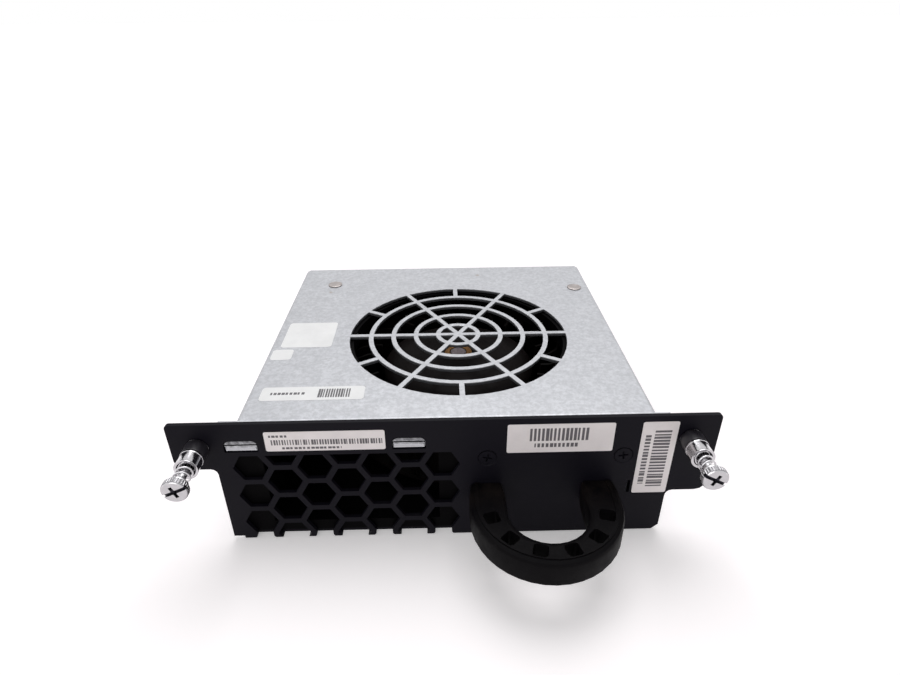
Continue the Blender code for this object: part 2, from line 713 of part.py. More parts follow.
def mouth_cell(x, z):
    """A cell of the lowest row, which runs on through the bottom edge between the ends of the slanting ribs."""
    across = HEX_ACROSS
    slope = math.tan(math.radians(30))
    side = HEX_POINT - across * slope
    if z - across <= 0:
        foot = HEX_POINT - z * slope
        right = [(x + foot, -CUT_MARGIN), (x + foot, 0), (x + HEX_POINT, z), (x + side, z + across)]
    else:
        rib_bottom = z - across - HEX_RIB
        foot = side + rib_bottom * slope
        right = [
            (x + foot, -CUT_MARGIN),
            (x + foot, 0),
            (x + side, rib_bottom),
            (x + side, z - across),
            (x + HEX_POINT, z),
            (x + side, z + across),
        ]
    left = [(2 * x - u, v) for u, v in reversed(right)]
    return right + left


def flat_head_profile(head, shank, length, rise):
    """A countersunk hole or head, with its wide end up. The cone is at 90 degrees, and rise is the straight
    part above it."""
    profile = [(0, rise), (head, rise), (head, 0), (shank, shank - head), (shank, -length), (0, -length)]
    return profile if rise > 0 else profile[:1] + profile[2:]


def countersink(name, x):
    profile = flat_head_profile(
        PANEL_SCREW_HEAD_RADIUS + GAP, PANEL_SCREW_RADIUS + GAP, PANEL_SCREW_LENGTH, CUT_MARGIN
    )
    return turned(name, profile, "black_steel", (x, 0, PANEL_SCREW_Z), axis="Y", sides=24)


def lap_rivet_places():
    first = -LAP_RIVET_SPACING * (LAP_RIVET_COUNT - 1) / 2
    return [first + LAP_RIVET_SPACING * index for index in range(LAP_RIVET_COUNT)]


def top_cover():
    """The bent cover: a top with the grille, two sides and a front flange with two pressed tabs."""
    outside = rounded(
        [
            (BOX_LEFT, 0, 0),
            (BOX_LEFT, BOX_TOP, BEND_RADIUS),
            (BOX_RIGHT, BOX_TOP, BEND_RADIUS),
            (BOX_RIGHT, 0, 0),
            (BOX_RIGHT - SHEET, 0, 0),
            (BOX_RIGHT - SHEET, BOX_TOP - SHEET, 0),
            (BOX_LEFT + SHEET, BOX_TOP - SHEET, 0),
            (BOX_LEFT + SHEET, 0, 0),
        ]
    )
    depth = BOX_DEPTH - FLANGE_FRONT
    cover = outline_solid("top_cover", [outside], depth, "galvanised", "XZ", FLANGE_FRONT)
    flange_outline = [
        (-FLANGE_HALF_WIDTH, FLANGE_LEFT_BOTTOM),
        (FLANGE_STEP_X, FLANGE_LEFT_BOTTOM),
        (FLANGE_STEP_X, FLANGE_RIGHT_BOTTOM),
        (FLANGE_HALF_WIDTH, FLANGE_RIGHT_BOTTOM),
        (FLANGE_HALF_WIDTH, BOX_TOP),
        (-FLANGE_HALF_WIDTH, BOX_TOP),
    ]
    screws = (PANEL_SCREW_LEFT_X, PANEL_SCREW_RIGHT_X)
    holes = [circle((x, PANEL_SCREW_Z), PANEL_SCREW_RADIUS + GAP, 16) for x in screws]
    flange = outline_solid("cover_flange", [flange_outline, *holes], SHEET, "galvanised", "XZ", FLANGE_FRONT)
    join(cover, flange)
    for side, x in (("left", TAB_LEFT_X), ("right", TAB_RIGHT_X)):
        proud = FLANGE_FRONT + SHEET / 2 - TAB_SINK
        join(cover, outline_solid(f"tab_{side}", [tab_outline(x, GAP)], proud, "galvanised", "XZ", TAB_SINK))
    span = FLANGE_HALF_WIDTH + CUT_MARGIN
    cut(cover, edge_cutter("front_bend", FLANGE_FRONT, BOX_TOP, (1, -1), BEND_RADIUS, -span, span))
    foot = block(
        "wall_feet",
        (-span, 0, -CUT_MARGIN),
        (span, LIP_DEPTH + GAP, PLATE_THICKNESS + GAP),
    )
    cut(cover, foot)
    notch = block(
        "mouth_notch",
        (BOX_LEFT - CUT_MARGIN, FLANGE_FRONT - CUT_MARGIN, PLATE_THICKNESS),
        (BOX_LEFT + SHEET + CUT_MARGIN, FRAME_BACK + GAP, FRAME_TOP + GAP),
    )
    cut(cover, notch)
    cut(cover, grille_cutter())
    for side, x, depth in top_rivet_places():
        profile = disc_profile(RIVET_RADIUS + GAP, -CUT_MARGIN, CUT_MARGIN)
        cut(cover, turned(f"top_rivet_hole_{side}", profile, "galvanised", (x, depth, BOX_TOP), sides=16))
    for name, x, depth in side_rivet_places():
        cut(cover, side_countersink(name, x, depth))
    for side, x in (("left", BOX_LEFT), ("right", BOX_RIGHT)):
        corner = REAR_CORNER_CHAMFER
        steps = ((-corner, 0), (0, -corner), (corner, 0), (0, corner))
        wedge = [(x + across, BOX_DEPTH + along) for across, along in steps]
        low = BOX_TOP - CUT_MARGIN
        cut(cover, outline_solid(f"rear_corner_{side}", [wedge], 2 * CUT_MARGIN, "galvanised", "XY", low))
    return cover


def grille_cutter():
    """The gaps between the rings as turned rings, with the spokes taken out of them."""
    low = -SHEET - CUT_MARGIN
    edges = [0.0]
    for index in range(RING_COUNT):
        middle = RING_FIRST_RADIUS + RING_PITCH * index
        edges += [middle - RING_WIDTH / 2, middle + RING_WIDTH / 2]
    edges.append(GRILLE_RADIUS)
    gaps = list(zip(edges[0::2], edges[1::2]))
    place_at = (GRILLE_X, GRILLE_DEPTH, BOX_TOP)
    cutters = None
    for index, (inner, outer) in enumerate(gaps):
        centre = (GRILLE_X, GRILLE_DEPTH)
        outlines = [circle(centre, outer, GRILLE_SIDES)]
        if inner > 0:
            outlines.append(circle(centre, inner, GRILLE_SIDES))
        gap = outline_solid(
            f"grille_gap_{index}", outlines, CUT_MARGIN - low, "galvanised", "XY", BOX_TOP + low
        )
        outermost = index == len(gaps) - 1
        for spoke in range(6 if outermost else 3):
            angle = math.pi * spoke / (6 if outermost else 3)
            bar = block(
                f"spoke_{index}_{spoke}",
                (-outer - CUT_MARGIN, -SPOKE_WIDTH / 2, low - CUT_MARGIN),
                (outer + CUT_MARGIN, SPOKE_WIDTH / 2, 2 * CUT_MARGIN),
            )
            bar.location = Vector((place_at[0], FRONT_Y + place_at[1], place_at[2] + (CUT_MARGIN + low) / 2))
            bar.rotation_euler = (0, 0, angle)
            cut(gap, bar)
        cutters = gap if cutters is None else join(cutters, gap)
    return cutters


def top_rivet_places():
    return [
        ("left", TOP_RIVET_LEFT_X, TOP_RIVET_LEFT_DEPTH),
        ("right", TOP_RIVET_RIGHT_X, TOP_RIVET_RIGHT_DEPTH),
    ]


def side_rivet_places():
    for side, x in (("left", BOX_LEFT), ("right", BOX_RIGHT)):
        for end, depth in (("front", SIDE_RIVET_FRONT_DEPTH), ("rear", SIDE_RIVET_REAR_DEPTH)):
            yield f"{side}_{end}", x, depth


def side_countersink(name, x, depth):
    reach = SHEET + CUT_MARGIN
    profile = flat_head_profile(SIDE_RIVET_HEAD_RADIUS + GAP, SIDE_RIVET_RADIUS + GAP, reach, CUT_MARGIN)
    sink = turned(f"side_countersink_{name}", profile, "galvanised", (x, depth, SIDE_RIVET_Z), "X", sides=16)
    sink.rotation_euler = (0, math.copysign(math.pi / 2, x - BOX_CENTRE_X), 0)
    return sink


def side_rivet_drill():
    """Two bars across the box, which drill the pan's flanges in line."""
    bars = []
    for depth in (SIDE_RIVET_FRONT_DEPTH, SIDE_RIVET_REAR_DEPTH):
        outline = circle((depth, SIDE_RIVET_Z), SIDE_RIVET_RADIUS + GAP, 16)
        bars.append(outline)
    reach = BOX_WIDTH + 2 * CUT_MARGIN
    return outline_solid("side_rivet_drill", bars, reach, "galvanised", "YZ", BOX_LEFT - CUT_MARGIN)


def bottom_pan():
    """The pan: a bottom joggled up over the faceplate's lip, a rear wall and two flanges inside the cover."""
    half = SHEET / 2
    lap = PLATE_THICKNESS + GAP + half
    rear = REAR_INNER + half
    top = BOX_TOP - SHEET - GAP
    path = [(LAP_START, lap), (JOGGLE_START, lap), (JOGGLE_END, half), (rear, half), (rear, top)]
    left = BOX_LEFT + SHEET + GAP
    right = BOX_RIGHT - SHEET - GAP
    pan = outline_solid("bottom_pan", [band(path, SHEET)], right - left, "galvanised", "YZ", left)
    for side, low in (("left", left), ("right", right - SHEET)):
        wall = block(
            f"pan_flange_{side}",
            (low, PAN_FLANGE_INSET, half),
            (low + SHEET, REAR_INNER - GAP, PAN_FLANGE_HEIGHT),
        )
        join(pan, wall)
    cut(pan, side_rivet_drill())
    opening = rectangle(
        CONNECTOR_X - CONNECTOR_WIDTH / 2 - GAP,
        CONNECTOR_Z - CONNECTOR_HEIGHT / 2 - GAP,
        CONNECTOR_X + CONNECTOR_WIDTH / 2 + GAP,
        CONNECTOR_Z + CONNECTOR_HEIGHT / 2 + GAP,
    )
    front = REAR_INNER - CUT_MARGIN / 2
    cut(pan, outline_solid("connector_window", [opening], 2 * CUT_MARGIN, "galvanised", "XZ", front))
    for index, x in enumerate(lap_rivet_places()):
        profile = disc_profile(LAP_RIVET_RADIUS + GAP, 0, lap + CUT_MARGIN)
        cut(pan, turned(f"lap_hole_{index + 1}", profile, "galvanised", (x, LAP_RIVET_DEPTH, 0), sides=16))
    return pan


def rivets():
    grip = SHEET + GAP + LID_THICKNESS
    for side, x, depth in top_rivet_places():
        profile = rivet_profile(TOP_RIVET_HEAD_RADIUS, RIVET_RADIUS, grip)
        turned(f"top_rivet_{side}", profile, "rivet_steel", (x, depth, BOX_TOP), sides=16)
    for name, x, depth in side_rivet_places():
        profile = flush_rivet_profile(SIDE_RIVET_HEAD_RADIUS, SIDE_RIVET_RADIUS, 2 * SHEET + GAP)
        rivet = turned(f"side_rivet_{name}", profile, "rivet_steel", (x, depth, SIDE_RIVET_Z), "X", sides=16)
        rivet.rotation_euler = (0, math.copysign(math.pi / 2, x - BOX_CENTRE_X), 0)
    for index, x in enumerate(lap_rivet_places()):
        profile = flush_rivet_profile(LAP_RIVET_HEAD_RADIUS, LAP_RIVET_RADIUS, PLATE_THICKNESS + GAP + SHEET)
        rivet = turned(f"lap_rivet_{index + 1}", profile, "rivet_steel", (x, LAP_RIVET_DEPTH, 0), sides=16)
        rivet.rotation_euler = (math.pi, 0, 0)


def rivet_tail(head, shank, grip):
    """The lower part of a rivet's profile: its shank, and the tail formed below what it holds."""
    tail = (head + shank) / 2
    return [
        (shank, -grip - GAP),
        (tail, -grip - GAP),
        (tail, -grip - GAP - RIVET_HEAD_HEIGHT),
        (0, -grip - GAP - RIVET_HEAD_HEIGHT),
    ]


def rivet_profile(head, shank, grip):
    """A rivet standing head up, with the outer face of what it holds at height zero."""
    return [
        (0, GAP + RIVET_HEAD_HEIGHT),
        (head * 0.8, GAP + RIVET_HEAD_HEIGHT),
        (head, GAP + RIVET_HEAD_HEIGHT / 2),
        (head, GAP),
        (shank, GAP),
        *rivet_tail(head, shank, grip),
    ]


def flush_rivet_profile(head, shank, grip):
    """A rivet whose head fills a countersink, level with the outer face of what it holds."""
    return [(0, 0), (head, 0), (shank, shank - head), *rivet_tail(head, shank, grip)]


def panel_screws():
    """The two countersunk screws in the faceplate, and the nuts pressed on behind the cover's flange."""
    behind = FLANGE_FRONT + SHEET + GAP
    for side, x in (("left", PANEL_SCREW_LEFT_X), ("right", PANEL_SCREW_RIGHT_X)):
        profile = flat_head_profile(PANEL_SCREW_HEAD_RADIUS, PANEL_SCREW_RADIUS, PANEL_SCREW_LENGTH, 0)
        turned(f"panel_screw_{side}", profile, "black_steel", (x, 0, PANEL_SCREW_Z), "Y", sides=24)
        nut = ring_profile(PANEL_SCREW_RADIUS + GAP, PANEL_NUT_RADIUS, -behind - PANEL_NUT_HEIGHT, -behind)
        turned(f"clinch_nut_{side}", nut, "bright_steel", (x, 0, PANEL_SCREW_Z), "Y", sides=6 * 4, closed=True)


def handle():
    """The moulded pull handle: a level loop with a lip round its top edge, two roots and six openings."""
    outer = HANDLE_OUTER_RADIUS
    inner = HANDLE_INNER_RADIUS
    root = -GAP
    top = HANDLE_BOTTOM + HANDLE_HEIGHT

    def loop(outer_radius, inner_radius, inner_centre, start):
        outside = arc((HANDLE_X, -HANDLE_OUTER_CENTRE), outer_radius, math.pi, 2 * math.pi, math.radians(9))
        inside = arc((HANDLE_X, -inner_centre), inner_radius, 2 * math.pi, math.pi, math.radians(12))
        return [
            (HANDLE_X - outer_radius, start),
            *outside,
            (HANDLE_X + outer_radius, start),
            (HANDLE_X + inner_radius, start),
            *inside,
            (HANDLE_X - inner_radius, start),
        ]

    outline = loop(outer, inner, HANDLE_INNER_CENTRE, root)
    body = outline_solid("handle", [outline], HANDLE_HEIGHT, "handle_plastic", "XY", HANDLE_BOTTOM)
    whole_faces(body)
    bevel = body.modifiers.new("edge", "BEVEL")
    bevel.width = HANDLE_EDGE
    bevel.segments = 2
    bevel.limit_method = "ANGLE"
    bevel.angle_limit = math.radians(60)
    lip_outer = outer - HANDLE_EDGE - HANDLE_LIP_SETBACK
    lip_outline = loop(lip_outer, lip_outer - HANDLE_LIP_WIDTH, HANDLE_OUTER_CENTRE, -HANDLE_ROOT_LENGTH / 2)
    lip_height = HANDLE_LIP_HEIGHT + HANDLE_EDGE
    join(body, outline_solid("handle_lip", [lip_outline], lip_height, "handle_plastic", "XY", top - HANDLE_EDGE))
    width = outer - inner
    for side, low in (("left", HANDLE_X - outer), ("right", HANDLE_X + inner)):
        step = HANDLE_ROOT_STEP
        pad = rectangle(low - step, HANDLE_BOTTOM - step, low + width + step, top + step, HANDLE_EDGE)
        length = HANDLE_ROOT_LENGTH - GAP
        join(body, outline_solid(f"handle_root_{side}", [pad], length, "handle_plastic", "XZ", -HANDLE_ROOT_LENGTH))
    cut(body, handle_windows())
    for side, x in handle_screw_places():
        profile = disc_profile(HANDLE_SCREW_RADIUS + GAP, -CUT_MARGIN, HANDLE_SCREW_REACH + GAP)
        cut(body, turned(f"handle_bore_{side}", profile, "handle_plastic", (x, 0, HANDLE_SCREW_Z), "Y", sides=16))
    return smooth(body)


def handle_windows():
    """Six rounded openings through the loop, evenly spaced round its curve."""
    outlines = []
    half_width = WINDOW_WIDTH / 2
    low = WINDOW_CIRCLE_RADIUS - WINDOW_LENGTH / 2
    shape = rectangle(low, -half_width, low + WINDOW_LENGTH, half_width, WINDOW_CORNER_RADIUS)
    sweep = math.pi - 2 * WINDOW_FIRST_ANGLE
    for index in range(WINDOW_COUNT):
        turn = Matrix.Rotation(math.pi + WINDOW_FIRST_ANGLE + sweep * index / (WINDOW_COUNT - 1), 2)
        points = [turn @ Vector(point) for point in shape]
        outlines.append([(HANDLE_X + p.x, p.y - WINDOW_CIRCLE_CENTRE) for p in points])
    height = HANDLE_HEIGHT + 2 * CUT_MARGIN
    return outline_solid("handle_windows", outlines, height, "handle_plastic", "XY", HANDLE_BOTTOM - CUT_MARGIN)


def handle_screw_places():
    half_spread = HANDLE_SCREW_SPREAD / 2
    return [("left", HANDLE_X - half_spread), ("right", HANDLE_X + half_spread)]


def handle_screws():
    """Screws put in from behind the faceplate, with their tips in the handle's roots."""
    under_head = -PLATE_THICKNESS - GAP
    for side, x in handle_screw_places():
        profile = [
            (0, HANDLE_SCREW_REACH),
            (HANDLE_SCREW_RADIUS, HANDLE_SCREW_REACH),
            (HANDLE_SCREW_RADIUS, under_head),
            (HANDLE_SCREW_HEAD_RADIUS, under_head),
            (HANDLE_SCREW_HEAD_RADIUS, under_head - HANDLE_SCREW_HEAD_HEIGHT),
            (0, under_head - HANDLE_SCREW_HEAD_HEIGHT),
        ]
        turned(f"handle_screw_{side}", profile, "bright_steel", (x, 0, HANDLE_SCREW_Z), "Y", sides=20)


def captive_screw(side, x, slot_angle):
    """One captive screw: ferrule, sleeve, spring, washer and screw, from the faceplate forward."""
    base = (x, 0, CAPTIVE_Z)
    lip_bore = SHANK_RADIUS + GAP
    thread_bore = THREAD_RADIUS + GAP
    ferrule = [
        (FERRULE_RADIUS, FERRULE_FRONT),
        (FERRULE_RADIUS, GAP),
        (FERRULE_NECK_RADIUS, GAP),
        (FERRULE_NECK_RADIUS, -FERRULE_REAR),
        (thread_bore, -FERRULE_REAR),
        (thread_bore, FERRULE_FRONT - FERRULE_LIP),
        (lip_bore, FERRULE_FRONT - FERRULE_LIP),
        (lip_bore, FERRULE_FRONT),
    ]
    turned(f"ferrule_{side}", ferrule, "black_steel", base, "Y", sides=22, closed=True)
    foot = FERRULE_FRONT + GAP
    sleeve = [
        (SLEEVE_RIM_RADIUS, SLEEVE_FRONT),
        (SLEEVE_RIM_RADIUS, SLEEVE_FRONT - SLEEVE_RIM_HEIGHT / 2),
        (SLEEVE_RADIUS, SLEEVE_FRONT - SLEEVE_RIM_HEIGHT),
        (SLEEVE_RADIUS, foot + SLEEVE_FOOT_HEIGHT),
        (SLEEVE_FOOT_RADIUS, foot + SLEEVE_FOOT_HEIGHT),
        (SLEEVE_FOOT_RADIUS, foot),
        (SLEEVE_RADIUS - SLEEVE_WALL, foot),
        (SLEEVE_RADIUS - SLEEVE_WALL, SLEEVE_FRONT),
    ]
    turned(f"sleeve_{side}", sleeve, "bright_steel", base, "Y", sides=22, closed=True)
    washer_front = KNOB_BACK - GAP
    washer_back = washer_front - SCREW_WASHER_THICKNESS
    washer = ring_profile(SHANK_RADIUS + GAP, SCREW_WASHER_RADIUS, washer_back, washer_front)
    turned(f"screw_washer_{side}", washer, "bright_steel", base, "Y", sides=24, closed=True)
    thread_start = FERRULE_FRONT - FERRULE_LIP - GAP
    knob_front = KNOB_BACK + KNOB_THICKNESS
    screw = [
        (0, knob_front),
        (KNOB_RADIUS - KNOB_EDGE, knob_front),
        (KNOB_RADIUS, knob_front - KNOB_EDGE),
        (KNOB_RADIUS, KNOB_BACK + KNOB_EDGE),
        (KNOB_RADIUS - KNOB_EDGE, KNOB_BACK),
        (SHANK_RADIUS, KNOB_BACK),
        (SHANK_RADIUS, thread_start),
        (THREAD_RADIUS, thread_start),
        (THREAD_RADIUS, thread_start - THREAD_LENGTH + THREAD_RADIUS - SHANK_RADIUS),
        (SHANK_RADIUS, thread_start - THREAD_LENGTH),
        (0, thread_start - THREAD_LENGTH),
    ]
    knob = turned(f"captive_screw_{side}", screw, "bright_steel", base, "Y", sides=KNOB_SIDES)
    for name, length, depth, turn in (
        ("slot", 2 * KNOB_RADIUS + CUT_MARGIN, SLOT_DEPTH, 0),
        ("cross", CROSS_LENGTH, CROSS_DEPTH, math.pi / 2),
    ):
        bar = block(
            f"{name}_{side}",
            (-length / 2, -knob_front - CUT_MARGIN, -SLOT_WIDTH / 2),
            (length / 2, -knob_front + depth, SLOT_WIDTH / 2),
        )
        bar.location += Vector((x, 0, CAPTIVE_Z))
        bar.rotation_euler = (0, slot_angle + turn, 0)
        cut(knob, bar)
    spring(side, x, foot, washer_back - GAP)


def spring(side, x, start, end):
    """A wire helix round the shank, in front of the ferrule and behind the washer."""
    length = end - start - SPRING_WIRE
    points_per_turn = 10
    count = SPRING_TURNS * points_per_turn
    curve = bpy.data.curves.new(f"spring_{side}", "CURVE")
    curve.dimensions = "3D"
    curve.bevel_depth = SPRING_WIRE / 2
    curve.bevel_resolution = 1
    curve.use_fill_caps = True
    spline = curve.splines.new("POLY")
    spline.points.add(count)
    for index, point in enumerate(spline.points):
        angle = 2 * math.pi * index / points_per_turn
        height = start + SPRING_WIRE / 2 + length * index / count
        point.co = (SPRING_RADIUS * math.cos(angle), -height, SPRING_RADIUS * math.sin(angle), 1)
    coil = bpy.data.objects.new(f"spring_{side}_path", curve)
    coil.location = (x, FRONT_Y, CAPTIVE_Z)
    PARTS.objects.link(coil)
    return smooth(as_mesh(f"spring_{side}", coil, "bright_steel"))


def scroll_radius(angle):
    share = (angle - TONGUE_ANGLE) / (SCROLL_END_ANGLE - TONGUE_ANGLE)
    return TONGUE_RADIUS + (SCROLL_END_RADIUS - TONGUE_RADIUS) * share


def scroll_outline(offset, mouth):
    """The scroll seen from above: a spiral from the tongue round to the left, then forward to the mouth."""
    steps = 34
    left = GRILLE_X - SCROLL_END_RADIUS - offset
    tongue_x = GRILLE_X + TONGUE_RADIUS * math.cos(TONGUE_ANGLE) + offset
    points = []
    for index in range(steps + 1):
        angle = TONGUE_ANGLE + (SCROLL_END_ANGLE - TONGUE_ANGLE) * index / steps
        point = scroll_point(angle, offset)
        if angle > 0 or point[0] >= tongue_x - GAP / 10:
            points.append(point)
    return points + [(left, mouth), (tongue_x, mouth)]


def scroll_point(angle, offset):
    radius = scroll_radius(angle) + offset
    return GRILLE_X + radius * math.cos(angle), GRILLE_DEPTH + radius * math.sin(angle)


def blower_scroll():
    """The lower half of the blower: floor and spiral wall, open at the mouth, with a frame round it that backs
    the honeycomb."""
    height = SCROLL_TOP - BLOWER_BASE
    scroll = outline_solid(
        "blower_scroll", [scroll_outline(SCROLL_WALL, MOUTH_DEPTH)], height, "black_plastic", "XY", BLOWER_BASE
    )
    for index, angle in enumerate(LID_SCREW_ANGLES):
        outline = circle(scroll_point(angle, SCROLL_WALL), LID_BOSS_RADIUS, 20)
        join(scroll, outline_solid(f"scroll_boss_{index}", [outline], height, "black_plastic", "XY", BLOWER_BASE))
    low = (FRAME_LEFT, FLANGE_FRONT, FRAME_BOTTOM)
    high = (FRAME_RIGHT, FRAME_BACK, FRAME_TOP)
    join(scroll, block("mouth_frame", low, high, "black_plastic"))
    hollow = outline_solid(
        "scroll_hollow",
        [scroll_outline(0, MOUTH_DEPTH - CUT_MARGIN)],
        height,
        "black_plastic",
        "XY",
        FLOOR_TOP,
    )
    cut(scroll, hollow)
    for index, angle in enumerate(LID_SCREW_ANGLES):
        centre = scroll_point(angle, SCROLL_WALL + LID_SCREW_RADIUS)
        bore = circle(centre, LID_SCREW_RADIUS + GAP, 16)
        depth = LID_SCREW_LENGTH - LID_THICKNESS + GAP
        low = SCROLL_TOP - depth
        cut(scroll, outline_solid(f"boss_bore_{index}", [bore], depth + CUT_MARGIN, "black_plastic", "XY", low))
    return scroll


def blower_lid():
    """The upper half: a flat lid with the inlet, a lip that guides the air, and two lugs for the top rivets."""
    lid = outline_solid(
        "blower_lid",
        [scroll_outline(SCROLL_WALL, MOUTH_DEPTH)],
        LID_THICKNESS,
        "black_plastic",
        "XY",
        LID_BOTTOM,
    )
    lug_height = LID_THICKNESS - 2 * LUG_STEP
    lug_bottom = LID_BOTTOM + LUG_STEP
    screw_places = [scroll_point(angle, SCROLL_WALL + LID_SCREW_RADIUS) for angle in LID_SCREW_ANGLES]
    for side, x, depth in top_rivet_places():
        towards = Vector((GRILLE_X - x, GRILLE_DEPTH - depth)).normalized()
        inner = Vector((GRILLE_X, GRILLE_DEPTH)) - towards * (INLET_RADIUS + INLET_LIP_WIDTH + LUG_RADIUS)
        across = Vector((-towards.y, towards.x)) * LUG_RADIUS
        start = math.atan2(across.y, across.x)
        lug = arc((x, depth), LUG_RADIUS, start, start + math.pi) + [tuple(inner - across), tuple(inner + across)]
        join(lid, outline_solid(f"lug_{side}", [lug], lug_height, "black_plastic", "XY", lug_bottom))
    for index, centre in enumerate(screw_places):
        boss = [circle(centre, LID_BOSS_RADIUS, 20)]
        join(lid, outline_solid(f"lid_boss_{index}", boss, lug_height, "black_plastic", "XY", lug_bottom))
    lip = disc_profile(INLET_RADIUS + INLET_LIP_WIDTH, LID_BOTTOM - INLET_LIP_HEIGHT, LID_TOP - LID_THICKNESS / 2)
    join(lid, turned("inlet_lip", lip, "black_plastic", (GRILLE_X, GRILLE_DEPTH, 0), sides=GRILLE_SIDES))
    inlet = disc_profile(INLET_RADIUS, LID_BOTTOM - INLET_LIP_HEIGHT - CUT_MARGIN, LID_TOP + CUT_MARGIN)
    cut(lid, turned("inlet", inlet, "black_plastic", (GRILLE_X, GRILLE_DEPTH, 0), sides=GRILLE_SIDES))
    for side, x, depth in top_rivet_places():
        hole = circle((x, depth), RIVET_RADIUS + GAP, 16)
        span = LID_THICKNESS + 2 * CUT_MARGIN
        cut(lid, outline_solid(f"lug_hole_{side}", [hole], span, "black_plastic", "XY", LID_BOTTOM - CUT_MARGIN))
    for index, centre in enumerate(screw_places):
        sink = turned(
            f"lid_sink_{index}",
            [
                (0, CUT_MARGIN),
                (LID_SCREW_HEAD_RADIUS + GAP, CUT_MARGIN),
                (LID_SCREW_HEAD_RADIUS + GAP, -LID_SCREW_HEAD_HEIGHT - GAP),
                (LID_SCREW_RADIUS + GAP, -LID_SCREW_HEAD_HEIGHT - GAP),
                (LID_SCREW_RADIUS + GAP, -LID_THICKNESS - CUT_MARGIN),
                (0, -LID_THICKNESS - CUT_MARGIN),
            ],
            "black_plastic",
            (*centre, LID_TOP),
            sides=20,
        )
        cut(lid, sink)
        screw = [
            (0, 0),
            (LID_SCREW_HEAD_RADIUS, 0),
            (LID_SCREW_HEAD_RADIUS, -LID_SCREW_HEAD_HEIGHT),
            (LID_SCREW_RADIUS, -LID_SCREW_HEAD_HEIGHT),
            (LID_SCREW_RADIUS, -LID_SCREW_LENGTH),
            (0, -LID_SCREW_LENGTH),
        ]
        turned(f"lid_screw_{index + 1}", screw, "bright_steel", (*centre, LID_TOP), sides=16)
    return lid


def impeller():
    """The moulded wheel: a domed hub over the rotor, a back plate, curved blades and a ring round their tops."""
    shell_inner = YOKE_RADIUS + GAP
    back_top = BACK_PLATE_Z + BACK_PLATE_THICKNESS
    hub = [
        (INSERT_RADIUS + GAP, HUB_TOP),
        (HUB_FLAT_RADIUS, HUB_TOP),
        (HUB_FLAT_RADIUS + (HUB_RADIUS - HUB_FLAT_RADIUS) * 0.55, HUB_TOP - (HUB_TOP - HUB_SHOULDER) * 0.28),
        (HUB_FLAT_RADIUS + (HUB_RADIUS - HUB_FLAT_RADIUS) * 0.88, HUB_TOP - (HUB_TOP - HUB_SHOULDER) * 0.65),
        (HUB_RADIUS, HUB_SHOULDER),
        (HUB_RADIUS, back_top),
        (IMPELLER_RADIUS, back_top),
        (IMPELLER_RADIUS, BACK_PLATE_Z),
        (shell_inner, BACK_PLATE_Z),
        (shell_inner, YOKE_TOP + GAP),
        (INSERT_RADIUS + GAP, YOKE_TOP + GAP),
    ]
    wheel = turned("impeller", hub, "black_plastic", (GRILLE_X, GRILLE_DEPTH, 0), sides=40, closed=True)
    blades = []
    for index in range(BLADE_COUNT):
        start = 2 * math.pi * index / BLADE_COUNT
        path = []
        for step in range(BLADE_STEPS + 1):
            share = step / BLADE_STEPS
            radius = BLADE_INNER_RADIUS + (IMPELLER_RADIUS - SHROUD_WIDTH / 2 - BLADE_INNER_RADIUS) * share
            angle = start + BLADE_SWEEP * share * share
            path.append((GRILLE_X + radius * math.cos(angle), GRILLE_DEPTH + radius * math.sin(angle)))
        blades.append(band(path, BLADE_THICKNESS))
    low = back_top - BLADE_SINK
    fins = outline_solid("blades", blades, BLADE_TOP - low, "black_plastic", "XY", low)
    shroud_low = BLADE_TOP - BLADE_SINK
    shroud = ring_profile(IMPELLER_RADIUS - SHROUD_WIDTH, IMPELLER_RADIUS, shroud_low, shroud_low + SHROUD_HEIGHT)
    ring = turned("shroud", shroud, "black_plastic", (GRILLE_X, GRILLE_DEPTH, 0), sides=40, closed=True)
    join(wheel, fins, ring)
    return wheel


def rotor():
    """What turns with the impeller: shaft, brass insert, steel yoke, magnet and the clip under the bearing."""
    centre = (GRILLE_X, GRILLE_DEPTH, 0)
    insert_top = HUB_TOP + INSERT_RISE
    bore = SHAFT_RADIUS + GAP
    clip_top = BEARING_LOWER_Z - GAP
    shaft = disc_profile(SHAFT_RADIUS, clip_top - CLIP_DROP, insert_top)
    turned("shaft", shaft, "bright_steel", centre, sides=24)
    insert = ring_profile(bore, INSERT_RADIUS, INSERT_BOTTOM, insert_top)
    turned("hub_insert", insert, "brass", centre, sides=28, closed=True)
    clip = ring_profile(bore, CLIP_RADIUS, clip_top - CLIP_THICKNESS, clip_top)
    turned("shaft_clip", clip, "bright_steel", centre, sides=20, closed=True)
    yoke_inner = YOKE_RADIUS - YOKE_WALL
    yoke = [
        (YOKE_RADIUS, YOKE_TOP),
        (YOKE_RADIUS, YOKE_BOTTOM),
        (yoke_inner, YOKE_BOTTOM),
        (yoke_inner, YOKE_TOP - YOKE_WALL),
        (INSERT_RADIUS + GAP, YOKE_TOP - YOKE_WALL),
        (INSERT_RADIUS + GAP, YOKE_TOP),
    ]
    turned("rotor_yoke", yoke, "bright_steel", centre, sides=32, closed=True)
    magnet_outer = yoke_inner - GAP
    magnet = ring_profile(magnet_outer - MAGNET_THICKNESS, magnet_outer, YOKE_BOTTOM, MAGNET_TOP)
    turned("rotor_magnet", magnet, "magnet", centre, sides=32, closed=True)


